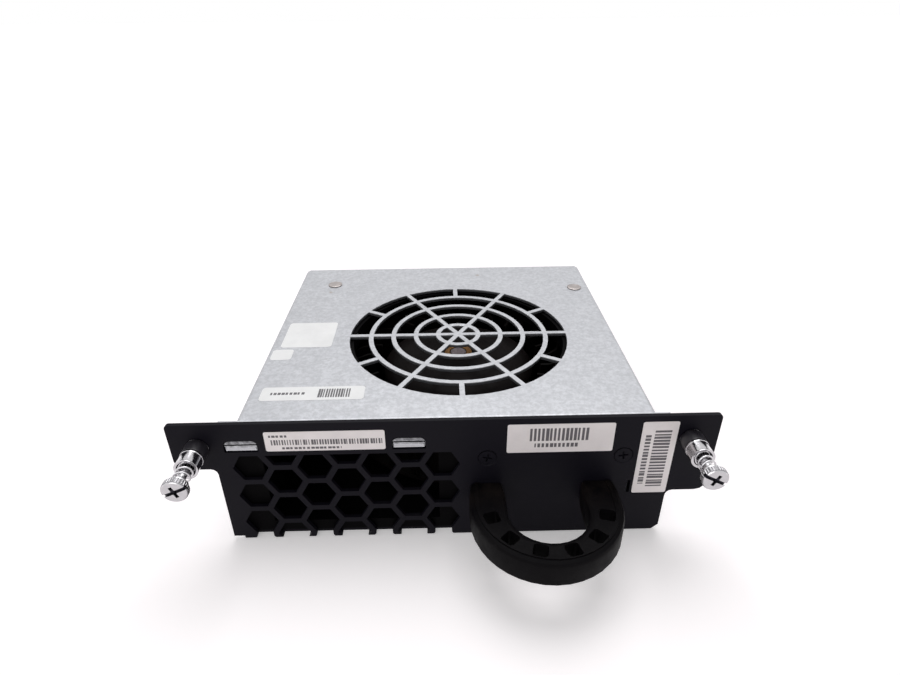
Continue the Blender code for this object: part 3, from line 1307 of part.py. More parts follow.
def motor():
    """What stays still inside the hub: bearing tube, two bearings, wound stator and the circuit board."""
    centre = (GRILLE_X, GRILLE_DEPTH, 0)
    floor = FLOOR_TOP + GAP
    tube = ring_profile(TUBE_INNER, TUBE_OUTER, floor, TUBE_TOP)
    turned("bearing_tube", tube, "brass", centre, sides=28, closed=True)
    for name, low in (("bearing_lower", BEARING_LOWER_Z), ("bearing_upper", BEARING_UPPER_Z)):
        bearing = ring_profile(SHAFT_RADIUS + GAP, BEARING_RADIUS, low, low + BEARING_HEIGHT)
        turned(name, bearing, "bright_steel", centre, sides=24, closed=True)
    inner = TUBE_OUTER + GAP
    top = STATOR_TOP
    core_low = STATOR_BOTTOM + COIL_OVERHANG
    core_high = top - COIL_OVERHANG
    stator = [
        (COIL_OUTER_RADIUS, top),
        (COIL_OUTER_RADIUS, core_high),
        (STATOR_RADIUS, core_high),
        (STATOR_RADIUS, core_low),
        (COIL_OUTER_RADIUS, core_low),
        (COIL_OUTER_RADIUS, STATOR_BOTTOM),
        (COIL_INNER_RADIUS, STATOR_BOTTOM),
        (COIL_INNER_RADIUS, core_low),
        (inner, core_low),
        (inner, core_high),
        (COIL_INNER_RADIUS, core_high),
        (COIL_INNER_RADIUS, top),
    ]
    turned("stator", stator, "copper", centre, sides=24, closed=True)
    board = ring_profile(inner, BOARD_RADIUS, floor, floor + BOARD_THICKNESS)
    turned("motor_board", board, "board", centre, sides=24, closed=True)


def connector():
    """The blind-mate connector in the rear wall, with its contacts."""
    half_width = CONNECTOR_WIDTH / 2
    half_height = CONNECTOR_HEIGHT / 2
    rear = BOX_DEPTH + CONNECTOR_STANDOUT
    front = REAR_INNER - CONNECTOR_INNER_DEPTH
    shell = outline_solid(
        "connector_housing",
        [
            rectangle(
                CONNECTOR_X - half_width,
                CONNECTOR_Z - half_height,
                CONNECTOR_X + half_width,
                CONNECTOR_Z + half_height,
            )
        ],
        rear - front,
        "black_plastic",
        "XZ",
        front,
    )
    collar = block(
        "connector_collar",
        (
            CONNECTOR_X - half_width - CONNECTOR_COLLAR,
            REAR_INNER - GAP - CONNECTOR_COLLAR_DEPTH,
            CONNECTOR_Z - half_height - CONNECTOR_COLLAR,
        ),
        (
            CONNECTOR_X + half_width + CONNECTOR_COLLAR,
            REAR_INNER - GAP,
            CONNECTOR_Z + half_height + CONNECTOR_COLLAR,
        ),
    )
    join(shell, collar)
    inside_width = half_width - CONNECTOR_WALL
    inside_height = half_height - CONNECTOR_WALL
    cavity = block(
        "connector_cavity",
        (CONNECTOR_X - inside_width, rear - CONNECTOR_CAVITY, CONNECTOR_Z - inside_height),
        (CONNECTOR_X + inside_width, rear + CUT_MARGIN, CONNECTOR_Z + inside_height),
    )
    cut(shell, cavity)
    half_pin = PIN_SIZE / 2
    pin_front = rear - CONNECTOR_CAVITY - PIN_LENGTH / 2
    for index in range(PIN_COUNT):
        x = CONNECTOR_X + PIN_PITCH * (index - (PIN_COUNT - 1) / 2)
        hole = half_pin + GAP
        bore = block(
            f"pin_bore_{index + 1}",
            (x - hole, front - CUT_MARGIN, CONNECTOR_Z - hole),
            (x + hole, rear, CONNECTOR_Z + hole),
        )
        cut(shell, bore)
        block(
            f"contact_{index + 1}",
            (x - half_pin, pin_front, CONNECTOR_Z - half_pin),
            (x + half_pin, pin_front + PIN_LENGTH, CONNECTOR_Z + half_pin),
            "brass",
        )
    return shell


def motor_lead():
    """The lead from the blower's wall to the connector, inside the rear right corner of the box."""
    start = Vector((*scroll_point(LEAD_EXIT_ANGLE, SCROLL_WALL + 2 * GAP), FLOOR_TOP + LEAD_RADIUS * 2))
    end = Vector((CONNECTOR_X, REAR_INNER - CONNECTOR_INNER_DEPTH - GAP, CONNECTOR_Z))
    out = Vector((math.cos(LEAD_EXIT_ANGLE), math.sin(LEAD_EXIT_ANGLE), 0)) * LEAD_EXIT_REACH
    back = Vector((0, -LEAD_END_REACH, 0))
    control = [start, start + out, end + back, end]
    count = 12
    curve = bpy.data.curves.new("motor_lead", "CURVE")
    curve.dimensions = "3D"
    curve.bevel_depth = LEAD_RADIUS
    curve.bevel_resolution = 2
    curve.use_fill_caps = True
    spline = curve.splines.new("POLY")
    spline.points.add(count)
    for index, point in enumerate(spline.points):
        t = index / count
        weights = ((1 - t) ** 3, 3 * t * (1 - t) ** 2, 3 * t * t * (1 - t), t**3)
        spot = sum((corner * weight for corner, weight in zip(control, weights)), Vector())
        point.co = (*spot, 1)
    cable = bpy.data.objects.new("motor_lead_path", curve)
    cable.location = (0, FRONT_Y, 0)
    PARTS.objects.link(cable)
    return smooth(as_mesh("motor_lead", cable, "lead"))


def build():
    faceplate()
    top_cover()
    bottom_pan()
    rivets()
    panel_screws()
    handle()
    handle_screws()
    captive_screw("left", -CAPTIVE_X, LEFT_SLOT_ANGLE)
    captive_screw("right", CAPTIVE_X, RIGHT_SLOT_ANGLE)
    blower_scroll()
    blower_lid()
    impeller()
    rotor()
    motor()
    connector()
    motor_lead()


build()
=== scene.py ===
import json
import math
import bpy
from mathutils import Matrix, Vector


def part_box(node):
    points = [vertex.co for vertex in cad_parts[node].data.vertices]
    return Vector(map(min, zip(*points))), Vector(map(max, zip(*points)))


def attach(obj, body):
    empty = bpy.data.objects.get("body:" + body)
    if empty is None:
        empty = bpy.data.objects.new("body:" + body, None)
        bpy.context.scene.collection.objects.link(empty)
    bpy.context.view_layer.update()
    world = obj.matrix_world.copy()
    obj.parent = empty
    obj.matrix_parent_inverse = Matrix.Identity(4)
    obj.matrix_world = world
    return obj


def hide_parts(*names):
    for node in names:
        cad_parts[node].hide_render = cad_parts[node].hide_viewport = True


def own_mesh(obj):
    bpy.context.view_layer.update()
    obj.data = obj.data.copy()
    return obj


bl_info = {
    "name": "Switch fan tray",
    "version": (1, 0, 0),
    "blender": (4, 5, 0),
    "location": "3D View > Sidebar > Fan Tray",
    "description": "Dresses the fan tray's frame with finished pieces, materials, floor, lights and camera",
    "category": "Object",
}

import bpy
from bpy.props import FloatProperty, FloatVectorProperty, IntProperty, PointerProperty
from mathutils import Matrix, Vector

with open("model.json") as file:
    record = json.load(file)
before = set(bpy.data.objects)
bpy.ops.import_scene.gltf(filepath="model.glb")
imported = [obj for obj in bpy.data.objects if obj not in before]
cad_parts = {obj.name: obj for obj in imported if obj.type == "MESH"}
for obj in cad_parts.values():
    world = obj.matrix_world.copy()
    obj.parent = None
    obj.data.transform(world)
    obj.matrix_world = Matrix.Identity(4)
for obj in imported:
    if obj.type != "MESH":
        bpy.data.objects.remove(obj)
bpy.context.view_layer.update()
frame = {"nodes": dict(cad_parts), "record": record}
PLATE_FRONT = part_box("faceplate")[0].y
COVER_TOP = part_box("top_cover")[1].z
# The cover's two tabs: the middle of each, their height from foot to top, the height of the step across them,
# half their width at the step and at the foot, and how far their face is behind the faceplate's
TAB_PLACES = {"left": -0.0536, "right": -0.00965}
TAB_FOOT_Z = 0.0323
TAB_STEP_Z = 0.0330
TAB_TOP_Z = 0.0354
TAB_HALF_WIDTH = 0.0042
TAB_FOOT_HALF_WIDTH = 0.0040
TAB_SINK = 0.0004
# Brown scuffs on the cover: how far each is from the middle and behind the faceplate's front
SCUFF_PLACES = ((-0.0416, 0.0808), (0.0142, 0.0945))
# The faceplate screws' cross recesses: the turn of each in degrees, and the whole depth of their cutter
CROSS_TURNS = {"left": 12.0, "right": -8.0}
CROSS_CUTTER_DEPTH = 0.0018
# The handle's roots: how far from the faceplate its arms are cut, how near its plain ends come, the radius
# and reach of the screw bores that are removed, and how much its ends narrow
ROOT_CUT = 0.0042
ROOT_CLEARANCE = 0.0003
BORE_RADIUS = 0.0017
BORE_REACH = 0.0075
ROOT_NARROWING = (0.90, 1.0, 0.94)
# The ferrules and sleeves: the radius inside which nothing changes, and how far their joint moves back.
# Then each one's growth, widest radius, joint, and the side of the joint that moves.
SLEEVE_INSIDE = 0.0026
JOINT_SHIFT = 0.0008
FERRULE_SHAPE = (0.93, 0.0031, PLATE_FRONT - 0.0045, -1.0)
SLEEVE_SHAPE = (1.08, 0.00307, PLATE_FRONT - 0.0056, 1.0)
# The captive screws' knobs: the turn of each slot, the slot's cutter, and the cutter for the cross's middle
SLOT_TURNS = {"left": math.radians(-24.0), "right": math.radians(28.0)}
SLOT_CUTTER = (0.0080, 0.0018, 0.0009)
RECESS_CUTTER = (0.0015, 0.0011, 0.0015)
# The knurl: its middle behind the knob's face, its length, and its thickness
KNURL_SETBACK = 0.00105
KNURL_LENGTH = 0.00135
KNURL_THICKNESS = 0.0005
# The camera as fitted to the photograph: degrees down, aside and of roll, its place, and its focus in pixels
CAMERA_TURNS = (29.262, 0.997, -0.556)
CAMERA_PLACE = (-0.000744, PLATE_FRONT - 0.12258, 0.13404)
CAMERA_FOCUS = 594.44
PHOTO_WIDTH = 900
SENSOR_WIDTH = 36.0
# Colours that only one finish uses
FERRULE_BLACK = (0.015, 0.0138, 0.0175)
WHEEL_BLACK = (0.0048, 0.0036, 0.0037)
SHAFT_GREY = (0.24, 0.205, 0.215)
COPPER = (0.36, 0.13, 0.05)
SCUFF_BROWN = (0.30, 0.22, 0.16)
# Painted shade in the knobs' recesses
RECESS_SHADE = (0.022, 0.020, 0.034)
# Painted shade on the cover's tabs, towards their top and in the groove at the step
TAB_SHADE = (0.10, 0.10, 0.11)
# Each kind of print on the labels: its pitch, and the narrowest and widest share of the pitch that is inked
PRINT_STEPS = {
    "bars": (0.00070, 0.30, 0.90),
    "wide bars": (0.00105, 0.45, 0.90),
    "dashes": (0.00110, 0.50, 0.88),
}
# The labels on the faceplate: each one's left, right, foot and top, and its prints
FRONT_LABELS = (
    (
        "label_front_left",
        (-0.0471, -0.0158, 0.0321, 0.0384),
        (
            ("bars", "X", -0.0459, -0.0164, "Z", 0.0341, 0.0358),
            ("dashes", "X", -0.0459, -0.0412, "Z", 0.0366, 0.0373),
            ("dashes", "X", -0.0428, -0.0273, "Z", 0.0327, 0.0334),
        ),
    ),
    (
        "label_front_right",
        (0.0161, 0.0443, 0.0299, 0.0392),
        (
            ("wide bars", "X", 0.0217, 0.0376, "Z", 0.0337, 0.0378),
            ("dashes", "X", 0.0234, 0.0349, "Z", 0.0316, 0.0329),
        ),
    ),
    (
        "label_front_end",
        (0.0515, 0.0610, 0.0147, 0.0392),
        (
            ("wide bars", "Z", 0.0170, 0.0364, "X", 0.0550, 0.0594),
            ("dashes", "Z", 0.0180, 0.0351, "X", 0.0527, 0.0542),
        ),
    ),
)
# The labels on the cover: left, right, near and far ends behind the faceplate's front, and prints
TOP_LABELS = (
    ("label_top_square", (-0.0513, -0.0353, 0.0398, 0.0562), ()),
    ("label_top_small", (-0.0529, -0.0465, 0.0324, 0.0385), ()),
    (
        "label_top_long",
        (-0.0509, -0.0222, 0.0110, 0.0175),
        (
            ("bars", "X", -0.0350, -0.0262, "Y", 0.0122, 0.0163),
            ("dashes", "X", -0.0482, -0.0386, "Y", 0.0137, 0.0148),
        ),
    ),
)


def length_field(name, description, default):
    """A size in metres, as a property."""
    return FloatProperty(name=name, description=description, default=default, unit="LENGTH")


def colour_field(name, description, default):
    """A colour, as a property."""
    return FloatVectorProperty(name=name, description=description, default=default, subtype="COLOR")


class TraySizes(bpy.types.PropertyGroup):
    """Sizes that the operators read"""

    edge_break: length_field("Edge break", "Width of the softened edge on the sheet metal", 0.00012)
    moulded_edge: length_field("Moulded edge", "Width of the softened edge on the plastic pieces", 0.0002)
    label_thickness: length_field("Label thickness", "Thickness of the paper labels", 0.00008)
    label_corner: length_field(
        "Label corner", "Radius of the top labels' corners, twice that of the front labels'", 0.0011
    )
    knurl_ribs: IntProperty(name="Knurl ribs", description="Ribs round each screw's knob", default=34, min=12)
    knurl_depth: length_field("Knurl depth", "How far the knurl's ribs stand out", 0.00018)
    spring_wire: length_field("Spring wire", "Diameter of the springs' wire", 0.0005)
    spring_turns: IntProperty(name="Spring turns", description="Turns of each spring", default=4, min=2)
    recess_width: length_field(
        "Recess width", "Width of each arm of the cross recess in the faceplate's screws", 0.00055
    )
    recess_length: length_field("Recess length", "Length of each arm of the cross recess", 0.0026)
    tab_relief: length_field("Tab relief", "How far the pressed step on the cover's tabs stands out", 0.00025)


class TrayColours(bpy.types.PropertyGroup):
    """Colours that the materials read"""

    zinc: colour_field("Zinc", "Colour of the galvanised sheet", (0.505, 0.512, 0.540))
    coating: colour_field("Black coating", "Colour of the coated faceplate", (0.0048, 0.0042, 0.0072))
    moulding: colour_field("Black moulding", "Colour of the handle and the blower", (0.0028, 0.0024, 0.0030))
    bright_metal: colour_field(
        "Bright metal", "Colour of the plated screws, sleeves and springs", (0.62, 0.61, 0.63)
    )
    rivet_metal: colour_field("Rivet metal", "Colour of the rivets", (0.40, 0.365, 0.355))
    brass: colour_field("Brass", "Colour of the brass ring in the hub", (0.25, 0.12, 0.035))
    paper: colour_field("Front paper", "Colour of the labels on the faceplate", (0.90, 0.85, 0.845))
    top_paper: colour_field("Top paper", "Colour of the labels on the cover", (0.93, 0.93, 0.935))
    ink: colour_field("Ink", "Colour of the plain bars on the labels", (0.035, 0.03, 0.04))
    floor: colour_field("Floor", "Colour of the floor", (0.95, 0.905, 0.92))


# Node trees


class Tree:
    """A material's node tree, with short ways to add nodes to it."""

    def __init__(self, name, colour, roughness, metallic=0.0, specular=None):
        self.material = bpy.data.materials.new(name)
        self.material.use_nodes = True
        self.nodes = self.material.node_tree.nodes
        self.links = self.material.node_tree.links
        self.shader = self.nodes["Principled BSDF"]
        self.set("Base Color", (*colour, 1.0))
        self.set("Roughness", roughness)
        self.set("Metallic", metallic)
        if specular is not None:
            self.set("Specular IOR Level", specular)
        self.place = self.add("ShaderNodeTexCoord").outputs["Object"]

    def set(self, socket, value):
        self.shader.inputs[socket].default_value = value

    def add(self, kind, inputs=None, **settings):
        node = self.nodes.new(kind)
        for name, value in settings.items():
            setattr(node, name, value)
        for name, value in (inputs or {}).items():
            if isinstance(value, bpy.types.NodeSocket):
                self.links.new(value, node.inputs[name])
            else:
                node.inputs[name].default_value = value
        return node

    def join(self, output, socket):
        self.links.new(output, self.shader.inputs[socket])

    def noise(self, scale, detail=3.0, roughness=0.55, stretch=None):
        place = self.place
        if stretch:
            place = self.add("ShaderNodeMapping", {"Vector": place, "Scale": stretch}).outputs["Vector"]
        inputs = {"Vector": place, "Scale": scale, "Detail": detail, "Roughness": roughness}
        return self.add("ShaderNodeTexNoise", inputs).outputs["Fac"]

    def spread(self, value, low, high, from_low=0.0, from_high=1.0):
        inputs = {"Value": value, "From Min": from_low, "From Max": from_high, "To Min": low, "To Max": high}
        return self.add("ShaderNodeMapRange", inputs).outputs["Result"]

    def work_out(self, operation, first, second):
        return self.add("ShaderNodeMath", {0: first, 1: second}, operation=operation).outputs["Value"]

    def sum_of(self, first, second):
        return self.work_out("ADD", first, second)

    def times(self, first, second):
        return self.work_out("MULTIPLY", first, second)

    def vector_of(self, operation, first, second, output="Vector"):
        return self.add("ShaderNodeVectorMath", {0: first, 1: second}, operation=operation).outputs[output]

    def blend(self, factor, first, second):
        node = self.add("ShaderNodeMix", {"Factor": factor}, data_type="RGBA")
        for index, colour in ((6, first), (7, second)):
            if isinstance(colour, bpy.types.NodeSocket):
                self.links.new(colour, node.inputs[index])
            else:
                node.inputs[index].default_value = (*colour[:3], 1.0)
        return node.outputs[2]

    def bump(self, height, distance, strength=1.0):
        inputs = {"Height": height, "Distance": distance, "Strength": strength}
        self.join(self.add("ShaderNodeBump", inputs).outputs["Normal"], "Normal")

    def axes(self):
        parts = self.add("ShaderNodeSeparateXYZ", {"Vector": self.place})
        return parts.outputs["X"], parts.outputs["Y"], parts.outputs["Z"]

    def within(self, value, low, high):
        """1 where value lies between low and high, and 0 elsewhere."""
        above = self.work_out("GREATER_THAN", value, low)
        below = self.work_out("LESS_THAN", value, high)
        return self.times(above, below)

    def reach(self, centre, across=(1.0, 1.0, 0.0)):
        """How far a place is from an axis through the centre, seen along the axis."""
        flat = self.vector_of("MULTIPLY", self.place, across)
        axis = tuple(a * b for a, b in zip(centre, across))
        return self.vector_of("DISTANCE", flat, axis, "Value")

    def near(self, point, radius):
        """Falls from 1 at a point to 0 at a radius from it."""
        distance = self.vector_of("DISTANCE", self.place, point, "Value")
        return self.spread(distance, 1.0, 0.0, 0.0, radius)


def chosen(name):
    """The tray's colour of that name."""
    return tuple(getattr(bpy.context.scene.tray_colours, name))


def tint(colour, factor):
    """The colour made darker or lighter by a factor."""
    return tuple(min(1.0, channel * factor) for channel in colour)


def zinc_sheet():
    """Galvanised sheet: grey spangle, fine grain, two brown scuffs, and painted shade on the walls of the
    grille's holes.
    """
    colour = chosen("zinc")
    tree = Tree("zinc sheet", colour, 0.42, metallic=0.55)
    wobble = tree.add("ShaderNodeTexNoise", {"Vector": tree.place, "Scale": 420.0, "Detail": 2.0})
    shift = tree.vector_of("MULTIPLY", wobble.outputs["Color"], (0.0022, 0.0022, 0.0022))
    place = tree.vector_of("ADD", tree.place, shift)
    cells = tree.add("ShaderNodeTexVoronoi", {"Vector": place, "Scale": 330.0}, feature="SMOOTH_F1")
    grain = tree.add("ShaderNodeSeparateColor", {"Color": cells.outputs["Color"]}).outputs["Red"]
    clouds = tree.noise(130.0, 4.0, 0.6)
    speck = tree.noise(1500.0, 2.0)
    mottle = tree.sum_of(tree.sum_of(grain, clouds), speck)
    factor = tree.spread(mottle, 0.0, 1.0, 0.95, 2.05)
    shade = tree.blend(factor, tint(colour, 0.98), tint(colour, 1.12))
    frost = tree.spread(tree.noise(760.0, 3.0, 0.8), 0.0, 1.0, 0.40, 0.60)
    shade = tree.blend(tree.times(frost, 0.6), shade, tint(colour, 0.74))
    scuffs = None
    for across, behind in SCUFF_PLACES:
        patch = tree.near((across, PLATE_FRONT + behind, COVER_TOP), 0.0016)
        ragged = tree.sum_of(patch, tree.spread(tree.noise(1800.0), -0.25, 0.35))
        mark = tree.spread(ragged, 0.0, 0.6, 0.45, 0.9)
        scuffs = mark if scuffs is None else tree.work_out("MAXIMUM", scuffs, mark)
    shade = tree.blend(scuffs, shade, SCUFF_BROWN)
    # Painted shade: inside the grille, the sheet's faces from just under its top down to 2 mm are painted
    # near black
    low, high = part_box("impeller")
    width = high.x - low.x
    hole = tree.spread(tree.reach((low + high) / 2), 1.0, 0.0, width * 0.48, width * 0.49)
    cut = tree.spread(tree.axes()[2], 1.0, 0.0, COVER_TOP - 0.0004, COVER_TOP - 0.00014)
    below = tree.work_out("GREATER_THAN", tree.axes()[2], COVER_TOP - 0.002)
    hole_wall_shade = tree.times(tree.times(hole, cut), below)
    shade = tree.blend(tree.times(hole_wall_shade, 0.85), shade, (0.035, 0.035, 0.04))
    tree.join(shade, "Base Color")
    tree.join(tree.spread(mottle, 0.50, 0.40, 0.9, 2.1), "Roughness")
    tree.bump(tree.sum_of(mottle, tree.noise(2600.0, 2.0)), 0.00003, 0.25)
    return tree.material


def tab_zinc():
    """The cover's pressed tabs: rougher, blotched zinc, with painted shade darkening the top and the groove
    at the step.
    """
    colour = tint(chosen("zinc"), 1.15)
    tree = Tree("tab zinc", colour, 0.45, metallic=0.45)
    blotch = tree.spread(tree.noise(900.0, 4.0, 0.75), 0.0, 1.0, 0.38, 0.62)
    height = tree.axes()[2]
    # Painted shade: blotched darkening above the step that grows towards the top, and a dark line in the
    # groove at the step
    upper = tree.spread(height, 0.0, 1.0, TAB_STEP_Z + 0.0002, TAB_STEP_Z + 0.0006)
    top_shade = tree.times(tree.spread(height, 0.15, 1.0, TAB_STEP_Z + 0.0006, TAB_STEP_Z + 0.0020), upper)
    top_shade = tree.times(top_shade, tree.spread(blotch, 0.4, 1.0))
    groove_shade = tree.within(height, TAB_STEP_Z - 0.0002, TAB_STEP_Z + 0.00012)
    shade = tree.blend(tree.times(tree.times(blotch, upper), 0.75), colour, tint(colour, 0.38))
    shade = tree.blend(tree.times(top_shade, 0.85), shade, TAB_SHADE)
    tree.join(tree.blend(tree.times(groove_shade, 0.2), shade, TAB_SHADE), "Base Color")
    tree.join(tree.spread(blotch, 0.36, 0.58), "Roughness")
    tree.bump(tree.noise(1400.0, 3.0), 0.00005, 0.5)
    return tree.material


def black_coating():
    """Powder coat on the faceplate: fine orange peel, a little dust and paler rubbed patches."""
    colour = chosen("coating")
    tree = Tree("black coating", colour, 0.5, specular=0.09)
    peel = tree.noise(2400.0, 2.0)
    clouds = tree.noise(60.0, 4.0, 0.6)
    dust = tree.spread(tree.noise(1100.0, 4.0, 0.7), 0.0, 1.0, 0.66, 0.8)
    shade = tree.blend(clouds, tint(colour, 0.85), tint(colour, 1.25))
    tree.join(tree.blend(tree.times(dust, 0.25), shade, (0.035, 0.033, 0.036)), "Base Color")
    tree.join(tree.spread(clouds, 0.44, 0.60, 0.3, 0.7), "Roughness")
    tree.bump(peel, 0.00004, 0.5)
    return tree.material


def handle_moulding():
    """Moulded nylon: fine spark-eroded grain, with a painted brown-grey sheen towards its roots."""
    colour = chosen("moulding")
    tree = Tree("handle moulding", colour, 0.55, specular=0.04)
    low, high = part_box("handle")
    along = tree.axes()[1]
    # Painted sheen: patchy brown-grey towards the arms' roots
    root = tree.spread(along, 0.0, 1.0, low.y + (high.y - low.y) * 0.62, high.y - 0.002)
    clouds = tree.noise(220.0, 4.0, 0.65)
    root_sheen = tree.times(root, tree.spread(clouds, 0.0, 1.0, 0.35, 0.75))
    dust = tree.spread(tree.noise(1300.0, 4.0, 0.7), 0.0, 1.0, 0.63, 0.78)
    shade = tree.blend(root_sheen, colour, (0.0135, 0.0102, 0.0092))
    tree.join(tree.blend(tree.times(dust, 0.3), shade, (0.03, 0.026, 0.023)), "Base Color")
    tree.join(tree.spread(clouds, 0.40, 0.58, 0.3, 0.7), "Roughness")
    tree.bump(tree.noise(3200.0, 3.0), 0.00005, 0.5)
    return tree.material


def blower_moulding():
    """The blower's glass-filled plastic: darker, with faint flow streaks."""
    colour = tint(chosen("moulding"), 0.4)
    tree = Tree("blower moulding", colour, 0.55, specular=0.03)
    flow = tree.noise(140.0, 4.0, 0.6, stretch=(1.0, 0.35, 1.0))
    tree.join(tree.blend(flow, tint(colour, 0.7), tint(colour, 1.5)), "Base Color")
    tree.join(tree.spread(flow, 0.46, 0.66, 0.3, 0.7), "Roughness")
    tree.bump(tree.noise(1800.0, 2.0), 0.00004, 0.4)
    return tree.material


def impeller_moulding():
    """The wheel's plastic: satin, with painted light on the hub and painted shade on the blades, faint
    circular moulding marks on the hub and dust in the blades.
    """
    tree = Tree("impeller moulding", WHEEL_BLACK, 0.45, specular=0.035)
    low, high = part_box("impeller")
    radius = tree.reach((low + high) / 2)
    rings = tree.work_out("SINE", tree.times(radius, 4200.0), 0.0)
    hub = tree.spread(radius, 1.0, 0.0, 0.021, 0.027)
    clouds = tree.noise(240.0, 4.0, 0.6)
    # Painted light and shade: the hub lighter, the blades around it darker
    shade = tree.blend(hub, tint(WHEEL_BLACK, 0.55), tint(WHEEL_BLACK, 1.35))
    dust = tree.spread(clouds, 0.0, 0.35, 0.5, 0.8)
    tree.join(tree.blend(dust, shade, (0.011, 0.008, 0.007)), "Base Color")
    tree.join(tree.spread(clouds, 0.34, 0.52, 0.3, 0.7), "Roughness")
    tree.bump(tree.sum_of(tree.times(rings, hub), tree.noise(1900.0, 2.0)), 0.00002, 0.4)
    return tree.material


def turned_metal(name, colour, roughness, stretch, blemish=0.8):
    """Plated or bare metal with fine lines from turning and slight clouding."""
    tree = Tree(name, colour, roughness, metallic=1.0)
    lines = tree.noise(900.0, 3.0, 0.6, stretch=stretch)
    clouds = tree.noise(520.0, 3.0, 0.6)
    tree.join(tree.blend(clouds, tint(colour, blemish), tint(colour, 1.1)), "Base Color")
    wear = tree.sum_of(lines, clouds)
    tree.join(tree.spread(wear, roughness * 0.7, roughness * 1.4, 0.7, 1.3), "Roughness")
    tree.bump(lines, 0.00002, 0.4)
    return tree.material


def bright_metal():
    colour = chosen("bright_metal")
    return turned_metal("bright metal", colour, 0.2, (1.0, 6.0, 1.0))


def sleeve_metal():
    colour = tint(chosen("bright_metal"), 0.95)
    return turned_metal("polished sleeve", colour, 0.1, (1.0, 6.0, 1.0))


def ferrule_metal():
    """The press-in ferrule's black plating: smoother than the faceplate's coat, with streaks along it."""
    tree = Tree("ferrule metal", FERRULE_BLACK, 0.3, specular=0.5)
    streaks = tree.noise(700.0, 4.0, 0.65, stretch=(1.0, 0.25, 1.0))
    tree.join(tree.blend(streaks, tint(FERRULE_BLACK, 0.6), tint(FERRULE_BLACK, 1.7)), "Base Color")
    tree.join(tree.spread(streaks, 0.24, 0.42, 0.3, 0.7), "Roughness")
    tree.bump(tree.noise(1500.0, 3.0), 0.00002, 0.4)
    return tree.material


def knob_metal(side):
    """The captive screw's plated metal, with painted shade in its recess and in the knurl's valleys."""
    colour = chosen("bright_metal")
    tree = Tree(f"knob metal {side}", colour, 0.22, metallic=1.0)
    low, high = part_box(f"captive_screw_{side}")
    radius = tree.reach((low + high) / 2, (1.0, 0.0, 1.0))
    rim = (high.x - low.x) / 2
    # Painted shade: inside the knob's rim, the recess darkens from just behind the face inwards
    inner = tree.spread(radius, 1.0, 0.0, rim * 0.84, rim * 0.90)
    depth = tree.spread(tree.axes()[1], 0.0, 1.0, low.y + 0.00008, low.y + 0.0003)
    front = tree.work_out("LESS_THAN", tree.axes()[1], low.y + 0.0017)
    recess_shade = tree.times(tree.times(inner, depth), front)
    clouds = tree.noise(620.0, 3.0, 0.6)
    shade = tree.blend(clouds, tint(colour, 0.72), tint(colour, 1.0))
    # Painted shade in the valleys between the knurl's ribs
    around = tree.work_out("GREATER_THAN", radius, rim * 0.97)
    valley_shade = tree.times(tree.spread(radius, 1.0, 0.0, rim - 0.00009, rim + 0.00008), around)
    shade = tree.blend(tree.times(valley_shade, 0.9), shade, (0.08, 0.075, 0.09))
    tree.join(tree.blend(tree.times(recess_shade, 0.94), shade, RECESS_SHADE), "Base Color")
    tree.join(tree.spread(tree.sum_of(clouds, recess_shade), 0.18, 0.5, 0.3, 1.4), "Roughness")
    tree.bump(tree.noise(900.0, 3.0, 0.6, stretch=(1.0, 6.0, 1.0)), 0.00002, 0.4)
    return tree.material


def rivet_metal():
    colour = chosen("rivet_metal")
    return turned_metal("rivet metal", colour, 0.42, (2.0, 2.0, 1.0), 0.7)


def shaft_metal():
    """The shaft's ground end, dulled by use."""
    return turned_metal("shaft metal", SHAFT_GREY, 0.6, (1.0, 1.0, 6.0))


def brass_metal():
    return turned_metal("brass", chosen("brass"), 0.32, (2.0, 2.0, 1.0), 0.6)


def wound_copper():
    """Enamelled wire: fine rows of turns round the core."""
    tree = Tree("wound copper", COPPER, 0.35, metallic=0.8)
    inputs = {"Vector": tree.place, "Scale": 420.0, "Distortion": 1.5}
    rows = tree.add("ShaderNodeTexWave", inputs, bands_direction="Z").outputs["Fac"]
    tree.join(tree.blend(rows, tint(COPPER, 0.45), tint(COPPER, 1.3)), "Base Color")
    tree.join(tree.spread(rows, 0.5, 0.28), "Roughness")
    tree.bump(rows, 0.0001, 0.6)
    return tree.material


def circuit_board():
    """Green solder mask with slightly paler tracks under it."""
    tree = Tree("circuit board", (0.012, 0.09, 0.045), 0.4)
    inputs = {"Vector": tree.place, "Scale": 260.0, "Mortar Size": 0.08}
    tracks = tree.add("ShaderNodeTexBrick", inputs, offset=0.35, squash=1.6).outputs["Fac"]
    grain = tree.noise(900.0, 3.0)
    tree.join(tree.blend(tracks, (0.010, 0.075, 0.036), (0.03, 0.16, 0.08)), "Base Color")
    tree.join(tree.spread(grain, 0.34, 0.5), "Roughness")
    tree.bump(tracks, 0.00005, 0.5)
    return tree.material


def grey_magnet():
    """Bonded magnet: dark grey with a coarse pressed grain."""
    tree = Tree("bonded magnet", (0.04, 0.04, 0.042), 0.65, metallic=0.2)
    grain = tree.noise(1200.0, 4.0, 0.7)
    tree.join(tree.blend(grain, (0.025, 0.025, 0.027), (0.07, 0.07, 0.074)), "Base Color")
    tree.join(tree.spread(grain, 0.55, 0.75), "Roughness")
    tree.bump(grain, 0.00006, 0.6)
    return tree.material


def black_insulation():
    """The lead's rubber: fine ribs from the extruder and a slight sheen."""
    tree = Tree("black insulation", (0.014, 0.014, 0.015), 0.5)
    grain = tree.noise(1600.0, 3.0)
    tree.join(tree.blend(grain, (0.010, 0.010, 0.011), (0.024, 0.024, 0.026)), "Base Color")
    tree.join(tree.spread(grain, 0.42, 0.6), "Roughness")
    tree.bump(grain, 0.00004, 0.5)
    return tree.material


